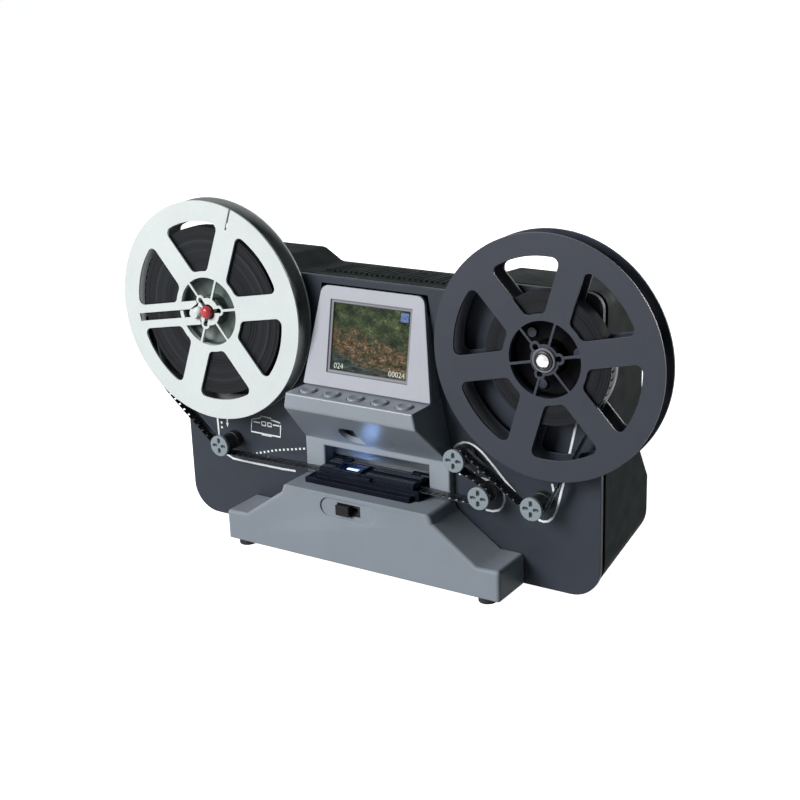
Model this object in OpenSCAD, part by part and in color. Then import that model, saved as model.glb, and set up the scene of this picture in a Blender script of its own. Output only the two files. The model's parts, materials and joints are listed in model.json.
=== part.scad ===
// Tabletop scanner for 8 mm film: two reels, guide rollers, a film gate, a small screen and its buttons.
// Millimetres. +X is right, +Y is back, +Z is up. The origin is the middle of the footprint, on the table.
// Depths named _d are measured forwards from the face of the front panel, and depths named _b backwards.

/* [Front panel] */
// Width of the panel beyond the distance of the reel axes
case_margin = 58.1; // [50:0.1:76]
// Height of the middle of the panel above the table
panel_h = 159.2; // [158.5:0.1:170]
// Thickness of the panel
panel_t = 3; // [2:0.1:4]
// Radius of the lower corners
panel_r = 17; // [8:0.5:25]
// Radius of the upper corners
panel_top_r = 8; // [3:0.5:12]
// How far the middle of the panel lies from the middle of the two reels
panel_x = -4.8; // [-10:0.1:10]
// Rise of the raised shoulder at each end
shoulder_h = 7.4; // [3:0.1:12]
// Distance between the feet of the two shoulder slopes
shoulder_gap = 104; // [96:1:120]
// Run of one shoulder slope
shoulder_run = 12; // [6:0.5:24]
// Radius of the bends in the ramp
shoulder_r = 7; // [3:0.5:9]

/* [Rear housing] */
// Wall of the housing
wall = 2.5; // [1.8:0.1:3.5]
// Depth of the upper part behind the panel face
back_b = 49; // [45:0.5:56]
// Depth of the lower bulge behind the panel face
bulge_b = 59; // [58:0.5:66]
// Height where the upper part starts to lean out into the bulge
bulge_top_z = 69.6; // [62:0.1:74]
// Height where the bulge is full
bulge_z = 53; // [46:0.5:58]
// Rise of the underside towards the back, in degrees
under_tilt = 12.5; // [8:0.5:14]
// Fall of the top towards the back, in degrees
top_tilt = 4.4; // [0:0.1:7]
// Width of the seam groove between panel and housing
seam_w = 2.5; // [1.5:0.1:4]
// Depth of the seam groove
seam_inset = 2; // [1:0.1:3]
// Depth of the pedestal under the housing
pedestal_b = 50; // [44:0.5:54]
// Width of the vent grille in the top
grille_w = 84; // [60:1:92]
// Depth of the vent grille
grille_l = 30; // [20:1:32]
// Spacing of the grille's ribs
grille_pitch = 3.5; // [3:0.1:5]
// Height of a grille rib
grille_rib_h = 1.2; // [0.6:0.1:2]

/* [Base] */
// Width of the base
base_w = 180.1; // [170:0.1:200]
// Depth of the base in front of the panel
base_d = 27.5; // [26:0.1:28.5]
// Height of the base's underside
base_z = 3; // [2:0.1:5]
// Height of the low ends
end_z = 20.6; // [18:0.1:24]
// Distance from the middle to the foot of a ramp
ramp_foot_x = 76.1; // [70:0.1:80]
// Distance from the middle to the head of a ramp
ramp_head_x = 49.7; // [49:0.1:54]
// Height of the head of a ramp
ramp_head_z = 39; // [36:0.1:41]
// Half width of the deck
deck_x = 47.8; // [47:0.1:48.8]
// Height of the deck
deck_z = 44.2; // [43:0.1:46]
// Thickness of the plate under the base
plate_t = 3; // [2:0.1:4]
// Radius of a foot
foot_r = 5; // [4:0.1:6]
// Distance from the middle to a foot
foot_x = 80; // [76:0.5:81]
// Forward place of the front feet
foot_front_d = 22; // [14:0.5:22.3]
// Backward place of the rear feet
foot_rear_b = 40; // [32:0.5:41]

/* [Console] */
// How far the middle of the base and console lies from the middle of the two reels
console_x = -3.2; // [-6:0.1:4]
// Width of the column
col_w = 95.2; // [94:0.1:95.5]
// How far the column stands out from the panel
col_d = 4.5; // [3.5:0.1:5]
// Height where the column starts to lean forwards
wedge_low_z = 66; // [65.5:0.1:68]
// Height of the front of the leaning underside
wedge_high_z = 91; // [89:0.1:92]
// How far the button ledge stands out from the panel
ledge_d = 29.5; // [29.4:0.1:32]
// Height of the button ledge
ledge_z = 99.6; // [99:0.1:101]
// Width of the ledge at its lower front edge
ledge_low_w = 85; // [84:0.1:90]
// Width of the ledge at its top
ledge_w = 81.6; // [80:0.1:84]
// Thickness of the ledge's top
ledge_t = 2; // [1.6:0.1:2.6]
// Width of the recess over the film gate
recess_w = 68.8; // [68.4:0.1:70]
// Height of the top of that recess
recess_z = 61.8; // [61:0.1:63]
// Depth of that recess behind the panel face
recess_b = 12; // [10:0.5:16]
// Depth of the upper part of the recess behind the panel face
lip_b = 4; // [3.6:0.1:6]
// Height of the lip that hangs over the gate's hinge
lip_z = 54.7; // [54.6:0.1:56]
// Wall of the recess
recess_wall = 2; // [1.5:0.1:2.5]
// Length of the lens port in the leaning underside
port_l = 34; // [30:0.5:35]
// Width of the lens port
port_w = 12; // [11:0.1:13]
// Forward place of the lens port
port_d = 12.5; // [12:0.1:13]

/* [Screen] */
// Width of the bezel at its foot
bezel_w = 82.4; // [80:0.1:84]
// Width of the bezel at its top
bezel_top_w = 67; // [64:0.1:70]
// Height of the bezel along its slope
bezel_h = 55.6; // [54:0.1:56]
// Forward place of the bezel's foot
bezel_d = 12; // [11:0.1:13]
// Lean of the bezel, in degrees
bezel_lean = 11; // [9:0.1:12]
// Thickness of the bezel
bezel_t = 2.5; // [2:0.1:3]
// Radius of the bezel's corners
bezel_r = 5; // [3:0.1:6]
// Gap under the bezel
bezel_gap = 0.6; // [0.6:0.1:1]
// Visible width of the screen
screen_w = 49; // [46:0.1:50]
// Visible height of the screen
screen_h = 36.8; // [34:0.1:37]
// Distance from the bezel's foot to the screen
screen_low = 9.8; // [9:0.1:10.5]
// Width of the step round the screen
screen_step = 1.6; // [0.8:0.1:2]
// Depth of that step
screen_step_t = 0.9; // [0.5:0.1:1.2]
// Thickness of the clear window
window_t = 0.8; // [0.5:0.1:1]
// Border of the display round its visible part
lcd_edge = 3.6; // [3:0.1:4]
// Thickness of the display
lcd_t = 2.2; // [1.8:0.1:2.6]

/* [Buttons] */
// Radius of a button
button_r = 4.7; // [4:0.1:5]
// Spacing of the buttons
button_pitch = 15.5; // [14:0.1:16]
// Forward place of the buttons
button_d = 21; // [20.5:0.1:21.5]
// How far a button stands out of the ledge
button_h = 1.1; // [0.9:0.1:1.6]
// Travel of a button
button_travel = 0.8; // [0.5:0.1:0.8]
// Gap round a button
button_gap = 0.3; // [0.25:0.05:0.5]
// Width of a button's collar under the ledge
button_collar = 0.9; // [0.7:0.1:1.2]
// Thickness of that collar
button_collar_t = 1.2; // [0.8:0.1:1.4]

/* [Format switch] */
// Place of the switch from the middle of the base
switch_x = -4; // [-8:0.1:4]
// Height of the switch
switch_z = 36.3; // [35:0.1:37]
// Length of the dished recess
switch_dish_l = 37; // [32:0.1:40]
// Height of the dished recess
switch_dish_w = 10.6; // [9.5:0.1:11]
// Depth of the dished recess
switch_dish_t = 1; // [0.6:0.1:1.2]
// Length of the slot
switch_slot_l = 14.7; // [14:0.1:16]
// Height of the slot
switch_slot_w = 6.4; // [6:0.1:7]
// Length of the sliding knob
switch_knob_l = 8.6; // [8:0.1:9]
// How far the knob stands out of the base
switch_knob_d = 1.8; // [1:0.1:1.8]
// Gap round the knob
switch_gap = 0.3; // [0.25:0.05:0.4]

/* [Film gate] */
// Width of the gate's front plate
gate_w = 69; // [67:0.1:70]
// Sideways place of the front plate from the middle of the console
gate_shift = -4; // [-5:0.1:1]
// Forward place of the gate's front edge
gate_d = 18.7; // [18:0.1:20]
// Width of the gate inside the recess
gate_in_w = 67.8; // [66:0.1:68]
// Thickness of the gate's plate
gate_t = 3; // [2.6:0.1:3.2]
// Height of the film bed above the plate
bed_t = 2.1; // [1.8:0.1:2.4]
// Width of one film rail
rail_w = 1.2; // [1:0.1:1.5]
// Height of a film rail above the bed
rail_h = 0.9; // [0.7:0.1:1]
// Place of the picture aperture from the middle of the console
aperture_x = -12.6; // [-16:0.1:-8]
// Width of the picture aperture
aperture_w = 8; // [7:0.1:9]
// Height of the picture aperture
aperture_l = 6; // [5:0.1:6.5]
// Width of the gate cover
cover_w = 62; // [60:0.1:64]
// Thickness of the gate cover
cover_t = 2.3; // [1.8:0.1:2.5]
// Gap between film rail and cover
cover_gap = 0.5; // [0.4:0.05:0.7]
// Forward place of the cover's front edge
cover_d = 15.2; // [14.8:0.1:16]
// Width of the window in the cover
cover_window_w = 14; // [13:0.1:16]
// Depth of the window in the cover
cover_window_l = 8.4; // [8:0.1:9]
// Width of the lifting tab
tab_w = 9; // [6:0.5:14]
// Length of the lifting tab
tab_l = 2.6; // [2:0.1:3]
// Radius of the hinge pin
pin_r = 1; // [0.8:0.05:1.1]
// Wall of a hinge knuckle
knuckle_wall = 1.2; // [1:0.1:1.4]
// Backward place of the hinge pin
hinge_b = 2.6; // [2.4:0.1:4]
// Length of one hinge knuckle
knuckle_l = 5.4; // [4:0.1:6]
// Running clearance of a pin or shaft in its hole
run_fit = 0.05; // [0.03:0.01:0.08]
// Seating clearance of a fixed piece in its hole
seat_fit = 0.02; // [0.01:0.01:0.05]

/* [Film] */
// Width of the film
film_w = 8; // [7.8:0.05:8.1]
// Thickness of the film
film_t = 0.2; // [0.15:0.01:0.3]
// Gap between film and what it passes
film_gap = 0.3; // [0.25:0.05:0.4]
// Radius of the slack loop under the supply reel
slack_r = 40; // [36:0.5:44]
// Sideways place of the slack loop from the supply reel's axis
slack_x = -10.6; // [-12:0.1:-8]
// Drop of the slack loop below the supply reel's axis
slack_drop = 24.7; // [22:0.1:26]
// Radius of the full pack on the supply reel
supply_pack_r = 49; // [46:0.5:52]
// Radius of the pack on the take-up reel
take_pack_r = 34.5; // [30:0.5:46]
// Turns shown on the outside of a pack
pack_turns = 3; // [2:1:5]
// Thickness of a shown turn
turn_t = 0.4; // [0.3:0.05:0.5]
// Spacing of the shown turns
turn_pitch = 0.95; // [0.92:0.01:1.2]

/* [Camera and claw] */
// Distance of the camera board under the ledge
camera_drop = 13.6; // [13:0.1:14.5]
// Width of the camera's sensor block
sensor_w = 14; // [12:0.1:15]
// Height of the camera's sensor block
sensor_h = 2.4; // [2:0.1:2.8]
// Radius of the lens barrel
lens_r = 4; // [3.4:0.1:4.1]
// Radius of the lens opening
lens_bore_r = 2.8; // [2:0.1:3]
// Length of the lens barrel
lens_l = 6; // [5:0.1:7]
// Height of the claw's carriage
carriage_h = 4; // [3:0.1:5]
// Length of the claw drive
drive_l = 24; // [20:0.5:26]
// Depth of the claw drive
drive_w = 12; // [9:0.5:13]

/* [Reels] */
// Diameter of a reel
reel_dia = 127; // [122:0.5:130]
// Distance between the two reel axes
reel_spacing = 213.5; // [206:0.5:220]
// Height of the reel axes
reel_z = 134.3; // [131:0.1:140]
// Gap between panel and reel
reel_back = 3; // [2.6:0.1:3.4]
// Thickness of a flange
flange_t = 1.2; // [0.8:0.1:1.5]
// Inside width between the flanges
reel_gap = 9.6; // [9.2:0.1:10]
// Radius of the inner edge of the windows
window_in_r = 23.4; // [23:0.1:25]
// Radius of the outer edge of the windows
window_out_r = 52; // [48:0.1:54]
// Width of a spoke
spoke_w = 14; // [10:0.5:16]
// Corner radius of a window
window_r = 3.5; // [2:0.1:4.5]
// Number of spokes
spokes = 6; // [4:1:8]
// Angle of the supply reel's first spoke
supply_angle = 10; // [0:1:59]
// Angle of the take-up reel's first spoke
take_angle = 13; // [0:1:59]
// Outer radius of the hub that the film winds on
hub_r = 22.3; // [21.5:0.1:22.6]
// Wall of the hub
hub_wall = 2.5; // [1.5:0.1:3]
// Outer radius of the reel's middle boss
boss_r = 8; // [7.2:0.1:9]
// Radius of the boss's three lobes
lobe_r = 3; // [2.6:0.1:3.2]
// Radius of the bore in the boss
bore_r = 4.3; // [4.2:0.1:4.8]
// Gap beside a spindle fin in the boss
fin_gap = 0.25; // [0.15:0.05:0.4]
// Distance from the axis where the threading clip starts
boss_hole_r = 6.3; // [6.2:0.1:6.8]
// Thickness of a hub rib
rib_t = 1.4; // [1:0.1:2]
// Width of the threading slot
thread_slot_w = 4.6; // [3:0.1:6]
// Radius of the round film catch by the threading slot
clip_r = 2.9; // [2.2:0.1:3.2]
// Height of that catch
clip_h = 2.5; // [1.5:0.1:3]
// Width of the split in the supply reel's rim
split_w = 1; // [0.6:0.1:2]
// Angle of that split from the first spoke
split_angle = 61; // [50:1:70]
// Radius of the lugs in the take-up reel's hub
lug_r = 2.6; // [2:0.1:3]
// Height of those lugs
lug_h = 4; // [2:0.1:6]

/* [Spindles] */
// Radius of a spindle
spindle_r = 3; // [2.5:0.1:3.4]
// Radius of the spindle's fins
fin_r = 6; // [5:0.1:6.1]
// Thickness of a fin
fin_t = 1.8; // [1.2:0.1:2.4]
// Angle of the first fin
fin_angle = 10; // [0:1:119]
// Radius of the collar behind a reel
collar_r = 9; // [8:0.1:10]
// Forward place of the spindle's tip
tip_d = 19; // [18:0.1:21]
// Radius of the tip
tip_r = 3.6; // [3.5:0.1:4.5]
// Length of the tip
tip_l = 4; // [3:0.1:5]
// Outer radius of a bush
bush_r = 6; // [5.2:0.1:7]
// Depth of a bush behind the panel face
bush_b = 8; // [7:0.1:8.4]

/* [Rollers] */
// Radius of a roller
roller_r = 5; // [4.4:0.1:5.4]
// Radius of a roller's rear flange
roller_flange_r = 5.5; // [5.4:0.1:6.6]
// Thickness of a roller's rear flange
roller_flange_t = 3.4; // [1:0.1:3.6]
// Radius of a roller's cap
cap_r = 6.3; // [6:0.1:7]
// Thickness of a cap
cap_t = 2.2; // [1.8:0.1:2.6]
// Width between a roller's flanges
roller_gap = 8.8; // [8.4:0.1:9]
// Radius of a roller's post
post_r = 2; // [1.6:0.1:2.2]
// Half the width of a slot in a cap
cap_hole_r = 0.9; // [0.8:0.1:1.1]
// Radius of the ring of holes in a cap
cap_ring_r = 3; // [2.8:0.1:3.6]
// Length of a slot in a cap
cap_slot_l = 3.2; // [2.4:0.1:3.6]
// Place of the entry roller, left of the middle
entry_x = -105.8; // [-112:0.1:-100]
// Place of the return roller
return_x = 53.4; // [51:0.1:56]
// Height of the return roller
return_z = 72; // [70:0.5:76]
// Place of the exit roller
exit_x = 68; // [66:0.1:72]
// Place of the guide roller under the take-up reel
guide_x = 99; // [94:0.1:104]
// Height of the entry, exit and guide rollers
low_roller_z = 53.6; // [53:0.1:55]

/* [Drive] */
// Sideways distance from the take-up spindle to the motor
motor_dx = -42; // [-50:0.5:-40]
// Radius of the motor
motor_r = 12; // [10:0.5:14]
// Length of the motor
motor_l = 20; // [15:0.5:21]
// Radius of the motor's shaft
motor_shaft_r = 1.5; // [1:0.1:2]
// Running radius of the motor's pulley
small_pulley_r = 5; // [4:0.1:7]
// Running radius of the take-up pulley
big_pulley_r = 18; // [15:0.5:18]
// Thickness of the belt
belt_t = 1.4; // [1:0.1:2]
// Width of the belt
belt_w = 3; // [2:0.1:3.4]
// Width of a pulley
pulley_w = 6; // [5.6:0.1:6.4]
// Rim of a pulley beside the belt
pulley_rim = 1; // [0.5:0.1:1.5]
// Backward place of the pulleys
pulley_b = 9; // [8.6:0.1:9.4]
// Radius of the brake disc on the supply spindle
brake_r = 12; // [9:0.5:16]
// Travel of the film claw, one picture
claw_travel = 4.2; // [3.8:0.1:4.3]
// Place of the claw from the aperture
claw_dx = 20; // [20:0.5:24]

/* [Boards and sockets] */
// Thickness of a circuit board
board_t = 1.6; // [1:0.1:1.8]
// Width of the main board
main_w = 96; // [80:1:110]
// Height of the main board
main_h = 44; // [36:1:48]
// Height of the main board's lower edge
main_z = 76; // [75:0.5:80]
// Backward place of the main board
main_b = 34; // [33:0.5:36]
// Distance from a board's edge to its posts
board_edge = 5; // [4:0.5:8]
// Radius of a board's post
board_post_r = 3; // [2.4:0.1:4]
// Radius of the power socket's mouth
jack_r = 2.8; // [2.6:0.1:3.2]
// Width of the power socket
jack_w = 9; // [8.5:0.1:11]
// Width of the card socket
card_w = 27; // [25:0.1:30]
// Height of the card socket
card_h = 4.4; // [4:0.1:5]
// Width of the data socket
data_w = 8; // [7:0.1:9]
// Height of the data socket
data_h = 4.2; // [3.8:0.1:5]
// Gap round a socket in the housing
socket_gap = 0.4; // [0.3:0.05:0.6]

/* [Fasteners] */
// Radius of a screw's shank
screw_r = 1.5; // [1.2:0.1:1.7]
// Radius of a screw's head
screw_head_r = 2.8; // [2.4:0.1:3]
// Height of a screw's head
screw_head_h = 1.6; // [1.2:0.1:2]
// Gap round a screw's head
screw_gap = 0.3; // [0.2:0.05:0.5]
// Radius of a screw's boss
screw_boss_r = 4.4; // [4:0.1:5]
// Length of a screw boss on the back of the panel
panel_boss_l = 6; // [5.8:0.1:8]
// How far the housing screws stand outside the reels' spacing
screw_x = 15.25; // [15.05:0.05:15.25]
// Height of the upper housing screws
screw_high_z = 157; // [156.9:0.1:157.4]
// Height of the lower housing screws
screw_low_z = 40; // [38:0.5:44]
// Distance from the middle to the base screws
base_screw_x = 64; // [60:0.5:66]

/* [Hidden] */
$fn = 64;

// Margin by which a cut runs past the face that it opens
cut = 1;
panel_y = (ledge_d - bulge_b) / 2;
seam_b = panel_t + seam_w;
film_d = reel_back + flange_t + reel_gap / 2;
reel_front_d = reel_back + 2 * flange_t + reel_gap;
panel_w = reel_spacing + case_margin;
supply_x = -reel_spacing / 2;
take_x = reel_spacing / 2;
gate_x = console_x + gate_shift;
light_x = console_x + aperture_x;
bed_z = deck_z + gate_t + bed_t;
film_z = bed_z + film_gap / 2 + film_t / 2;
cover_z = bed_z + rail_h + cover_gap;
hinge_z = cover_z + cover_t / 2;
knuckle_r = pin_r + knuckle_wall;
motor_x = take_x + motor_dx;
plate_z = base_z + plate_t;
wedge_slope = (wedge_high_z - wedge_low_z) / (ledge_d - col_d);
bezel_z = ledge_z + bezel_gap;
claw_x = light_x + claw_dx;
claw_d = film_d + film_w / 2 - 0.8;
button_places = [for (i = [-2:2]) console_x + i * button_pitch];
housing_screw_places = [
    for (s = [-1, 1]) [panel_x + s * (reel_spacing / 2 + screw_x), screw_high_z, back_b],
    for (s = [-1, 1]) [panel_x + s * (reel_spacing / 2 + screw_x), screw_low_z, bulge_b]
];
base_screw_places = [
    for (s = [-1, 1]) [console_x + s * base_screw_x, base_d / 2, 0],
    for (s = [-1, 1]) [console_x + s * base_screw_x, -(panel_t + pedestal_b) / 2, 0]
];

// Shared shapes

// An outline drawn in X and Z, filled from one depth to another
module slab(d_back, d_front) {
    translate([0, panel_y - d_back, 0])
        rotate([90, 0, 0])
            linear_extrude(d_front - d_back)
                children();
}

// An outline drawn in Y and Z, filled from one place across to another
module bar(x0, x1) {
    translate([x0, 0, 0])
        rotate([90, 0, 90])
            linear_extrude(x1 - x0)
                children();
}

function yz(d, z) = [panel_y - d, z];

module block(x0, x1, d0, d1, z0, z1) {
    translate([x0, panel_y - d1, z0])
        cube([x1 - x0, d1 - d0, z1 - z0]);
}

module rod(x, z, r, d_back, d_front) {
    translate([x, panel_y - d_back, z])
        rotate([90, 0, 0])
            cylinder(r = r, h = d_front - d_back);
}

module pillar(x, d, r, z0, z1) {
    translate([x, panel_y - d, z0])
        cylinder(r = r, h = z1 - z0);
}

module cross_rod(d, z, r, x0, x1) {
    translate([x0, panel_y - d, z])
        rotate([0, 90, 0])
            cylinder(r = r, h = x1 - x0);
}

module racetrack(l, w) {
    square([l - w, w], center = true);
    for (s = [-1, 1])
        translate([s * (l - w) / 2, 0])
            circle(d = w);
}

// Panel and housing

module tub_outline(w, z0, z1, r) {
    translate([-w / 2, z0 + r])
        square([w, z1 - z0 - r]);
    translate([-w / 2 + r, z0])
        square([w - 2 * r, z1 - z0]);
    for (s = [-1, 1])
        translate([s * (w / 2 - r), z0 + r])
            circle(r = r);
}

module shoulder_outline(w, mid_z, r, low_z) {
    x1 = shoulder_gap / 2;
    x2 = x1 + shoulder_run;
    top_z = mid_z + shoulder_h;
    ramp = atan(shoulder_h / shoulder_run);
    t = shoulder_r * tan(ramp / 2);
    bends = [
        for (a = [0:ramp / 4:ramp * 1.01]) [x2 + t - shoulder_r * sin(a), top_z - shoulder_r * (1 - cos(a))],
        for (a = [ramp:-ramp / 4:-ramp * 0.01]) [x1 - t + shoulder_r * sin(a), mid_z + shoulder_r * (1 - cos(a))]
    ];
    polygon([
        [-w / 2, low_z], [w / 2, low_z], [w / 2, top_z - r], [w / 2 - r, top_z],
        each bends, each [for (i = [len(bends) - 1:-1:0]) [-bends[i][0], bends[i][1]]],
        [-w / 2 + r, top_z], [-w / 2, top_z - r]
    ]);
    for (s = [-1, 1])
        translate([s * (w / 2 - r), top_z - r])
            circle(r = r);
}

module panel_outline() {
    translate([panel_x, 0])
        intersection() {
            tub_outline(panel_w, base_z, panel_h + 2 * shoulder_h, panel_r);
            shoulder_outline(panel_w, panel_h, panel_top_r, 0);
        }
}

module screw_hole(place, d_back, d_front, r) {
    rod(place[0], place[1], r, d_back, d_front);
}

// Half width of the bezel at a height above the table
function bezel_half(z) =
    bezel_w / 2 - (bezel_w - bezel_top_w) / 2 * (z - bezel_z) / (bezel_h * cos(bezel_lean));

pod_d = bezel_d - bezel_t / cos(bezel_lean) - seat_fit * 5 + bezel_gap * tan(bezel_lean);
pod_z = ledge_z + pod_d / tan(bezel_lean);
screen_open_w = screen_w + 2 * lcd_edge + 2;

module panel_openings() {
    gate_half = recess_w / 2 + recess_wall + socket_gap;
    bezel_top_z = bezel_z + bezel_h * cos(bezel_lean);
    slab(-panel_t - cut, cut)
        translate([console_x, 0]) {
            translate([-gate_half, deck_z - recess_wall - socket_gap])
                square([2 * gate_half, recess_z - deck_z + 2 * recess_wall + 2 * socket_gap]);
            translate([-screen_open_w / 2, wedge_low_z + wall])
                square([screen_open_w, bezel_top_z - wedge_low_z - 2 * wall]);
            polygon([
                for (s = [-1, 1]) [s * (bezel_half(pod_z - 4) + socket_gap), pod_z - 4],
                for (s = [1, -1]) [s * (bezel_half(bezel_top_z) + socket_gap), bezel_top_z + socket_gap]
            ]);
        }
    block(console_x - base_w / 2 + wall, console_x + base_w / 2 - wall,
        -panel_t - cut, cut, base_z - cut, plate_z + seat_fit);
}

module front_panel() {
    color([0.25, 0.26, 0.31])
        difference() {
            union() {
                slab(-panel_t, 0) panel_outline();
                for (p = housing_screw_places)
                    rod(p[0], p[1], screw_boss_r, -panel_t - panel_boss_l, -panel_t / 2);
            }
            panel_openings();
            for (x = [supply_x, take_x])
                rod(x, reel_z, bush_r + seat_fit, -panel_t - cut, cut);
            for (p = roller_places)
                rod(p[0], p[1], post_r + seat_fit, -panel_t - cut, cut);
            for (p = housing_screw_places)
                screw_hole(p, -panel_t - panel_boss_l - cut, -panel_t, screw_r + seat_fit);
        }
}

// Closed form of the housing, moved in on every side by an inset
module housing_form(inset, b0, b_up, b_low) {
    reach = bulge_b * 2;
    w = panel_w - 2 * inset;
    intersection() {
        translate([panel_x, panel_y, base_z])
            rotate([under_tilt, 0, 0])
                translate([0, reach, 0])
                    rotate([90, 0, 0])
                        linear_extrude(2 * reach)
                            tub_outline(w, inset, panel_h * 2, panel_r - inset);
        translate([panel_x, panel_y, panel_h])
            rotate([-top_tilt, 0, 0])
                translate([0, reach, 0])
                    rotate([90, 0, 0])
                        linear_extrude(2 * reach)
                            shoulder_outline(w, -inset, panel_top_r, -panel_h * 1.5);
        bar(panel_x - panel_w, panel_x + panel_w)
            polygon([
                yz(-b0, -panel_h), yz(-b0, panel_h * 2), yz(-b_up, panel_h * 2),
                yz(-b_up, bulge_top_z), yz(-b_low, bulge_z), yz(-b_low, -panel_h)
            ]);
    }
}

module on_top_slope() {
    translate([console_x, panel_y, panel_h])
        rotate([-top_tilt, 0, 0])
            children();
}

grille_b = seam_b + (back_b - seam_b) / 2;

module grille_opening(grow) {
    on_top_slope()
        translate([-grille_w / 2 - grow, grille_b - grille_l / 2 - grow, -3 * wall])
            cube([grille_w + 2 * grow, grille_l + 2 * grow, 6 * wall]);
}

socket_z = main_z + main_h / 2;
jack_x = console_x + main_w / 2 - board_edge * 3;
card_x = console_x - main_w / 2 + card_w / 2 + board_edge * 2;
data_x = console_x + board_edge * 2;
main_post_places = [
    for (sx = [-1, 1], sz = [0, 1])
        [console_x + sx * (main_w / 2 - board_edge), main_z + board_edge + sz * (main_h - 2 * board_edge)]
];

module rear_housing() {
    color([0.15, 0.17, 0.17])
        difference() {
            union() {
                difference() {
                    union() {
                        housing_form(0, seam_b, back_b, bulge_b);
                        housing_form(seam_inset, panel_t, back_b - wall, bulge_b - wall);
                        block(console_x - base_w / 2, console_x + base_w / 2,
                            -pedestal_b, -panel_t, base_z, bulge_z / 2);
                    }
                    housing_form(seam_inset + wall, panel_t - cut, back_b - wall, bulge_b - wall);
                    block(console_x - base_w / 2 + wall, console_x + base_w / 2 - wall,
                        -pedestal_b + wall, -panel_t + cut, base_z - cut, bulge_z / 2 + cut);
                }
                for (p = housing_screw_places)
                    rod(p[0], p[1], screw_boss_r, -p[2] + wall / 2, -panel_t - panel_boss_l);
                for (p = main_post_places)
                    rod(p[0], p[1], board_post_r, -back_b + wall / 2, -main_b - board_t);
                for (p = base_screw_places)
                    if (p[1] < 0) {
                        pillar(p[0], p[1], screw_boss_r, plate_z, bulge_z / 2);
                        block(p[0] - wall / 2, p[0] + wall / 2, -pedestal_b + wall / 2, p[1], plate_z, bulge_z / 2);
                    }
            }
            grille_opening(seat_fit);
            for (p = housing_screw_places) {
                screw_hole(p, -p[2] - cut, -panel_t, screw_r + screw_gap / 2);
                screw_hole(p, -p[2] - cut, -p[2] + screw_head_h, screw_head_r + screw_gap);
            }
            for (p = base_screw_places)
                pillar(p[0], p[1], screw_r + seat_fit, base_z, bulge_z / 2 - wall);
            rod(jack_x, socket_z, jack_w / 2 + socket_gap, -back_b - cut, -back_b + wall + cut);
            block(card_x - card_w / 2 - socket_gap, card_x + card_w / 2 + socket_gap,
                -back_b - cut, -back_b + wall + cut,
                socket_z - card_h / 2 - socket_gap, socket_z + card_h / 2 + socket_gap);
            block(data_x - data_w / 2 - socket_gap, data_x + data_w / 2 + socket_gap,
                -back_b - cut, -back_b + wall + cut,
                socket_z - data_h / 2 - socket_gap, socket_z + data_h / 2 + socket_gap);
        }
}

module top_grille() {
    ribs = floor(grille_w / grille_pitch);
    bar_w = grille_pitch / 2;
    slot_l = grille_l - 2 * wall;
    color([0.13, 0.14, 0.12])
        on_top_slope()
            translate([0, grille_b, 0])
                difference() {
                    union() {
                        translate([-grille_w / 2, -grille_l / 2, -wall])
                            cube([grille_w, grille_l, wall]);
                        for (i = [0:ribs - 1])
                            translate([(i - (ribs - 1) / 2) * grille_pitch - bar_w / 2, -slot_l / 2, -wall / 2])
                                cube([bar_w, slot_l, wall / 2 + grille_rib_h]);
                    }
                    for (i = [1:2:ribs - 2])
                        translate([(i - ribs / 2 + 1) * grille_pitch - bar_w / 2, -slot_l / 2, -wall - cut])
                            cube([bar_w, slot_l, wall + 2 * cut]);
                }
}

// Base

module base_outline(inset) {
    low = inset > 0 ? base_z - cut : base_z;
    polygon([
        for (s = [-1, 1]) each s < 0
            ? [[-base_w / 2 + inset, low], [-base_w / 2 + inset, end_z - inset],
                [-ramp_foot_x + inset / 2, end_z - inset], [-ramp_head_x + inset, ramp_head_z - inset],
                [-deck_x + inset, deck_z - inset]]
            : [[deck_x - inset, deck_z - inset], [ramp_head_x - inset, ramp_head_z - inset],
                [ramp_foot_x - inset / 2, end_z - inset], [base_w / 2 - inset, end_z - inset],
                [base_w / 2 - inset, low]]
    ]);
}

// Places of the two pegs that carry the light board under the deck
led_pegs = [for (s = [-1, 1]) light_x + s * (aperture_w / 2 + board_edge)];
led_z = deck_z - wall - board_edge;
diffuser_w = aperture_w + 4;
diffuser_l = aperture_l + 3;

module claw_slot(z0, z1) {
    half = (claw_travel + 2) / 2;
    block(claw_x - half, claw_x + half, claw_d - 1, claw_d + 1, z0, z1);
}

module base_shell() {
    color([0.5, 0.52, 0.56])
        difference() {
            union() {
                difference() {
                    slab(0, base_d) translate([console_x, 0]) base_outline(0);
                    slab(-cut, base_d - wall) translate([console_x, 0]) base_outline(wall);
                }
                for (x = led_pegs)
                    pillar(x, film_d, board_edge / 2, led_z + board_t, deck_z - wall / 2);
                for (p = base_screw_places)
                    if (p[1] > 0)
                        intersection() {
                            pillar(p[0], p[1], screw_boss_r, plate_z, deck_z);
                            slab(0, base_d) translate([console_x, 0]) base_outline(0);
                        }
            }
            slab(base_d - switch_dish_t, base_d + cut)
                translate([console_x + switch_x, switch_z])
                    racetrack(switch_dish_l, switch_dish_w);
            slab(base_d - wall - cut, base_d + cut)
                translate([console_x + switch_x, switch_z])
                    square([switch_slot_l, switch_slot_w], center = true);
            block(light_x - diffuser_w / 2 - seat_fit, light_x + diffuser_w / 2 + seat_fit,
                film_d - diffuser_l / 2 - seat_fit, film_d + diffuser_l / 2 + seat_fit,
                deck_z - wall - cut, deck_z + cut);
            claw_slot(deck_z - wall - cut, deck_z + cut);
            for (p = base_screw_places)
                pillar(p[0], p[1], screw_r + seat_fit, base_z, end_z - wall);
        }
}

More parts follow.
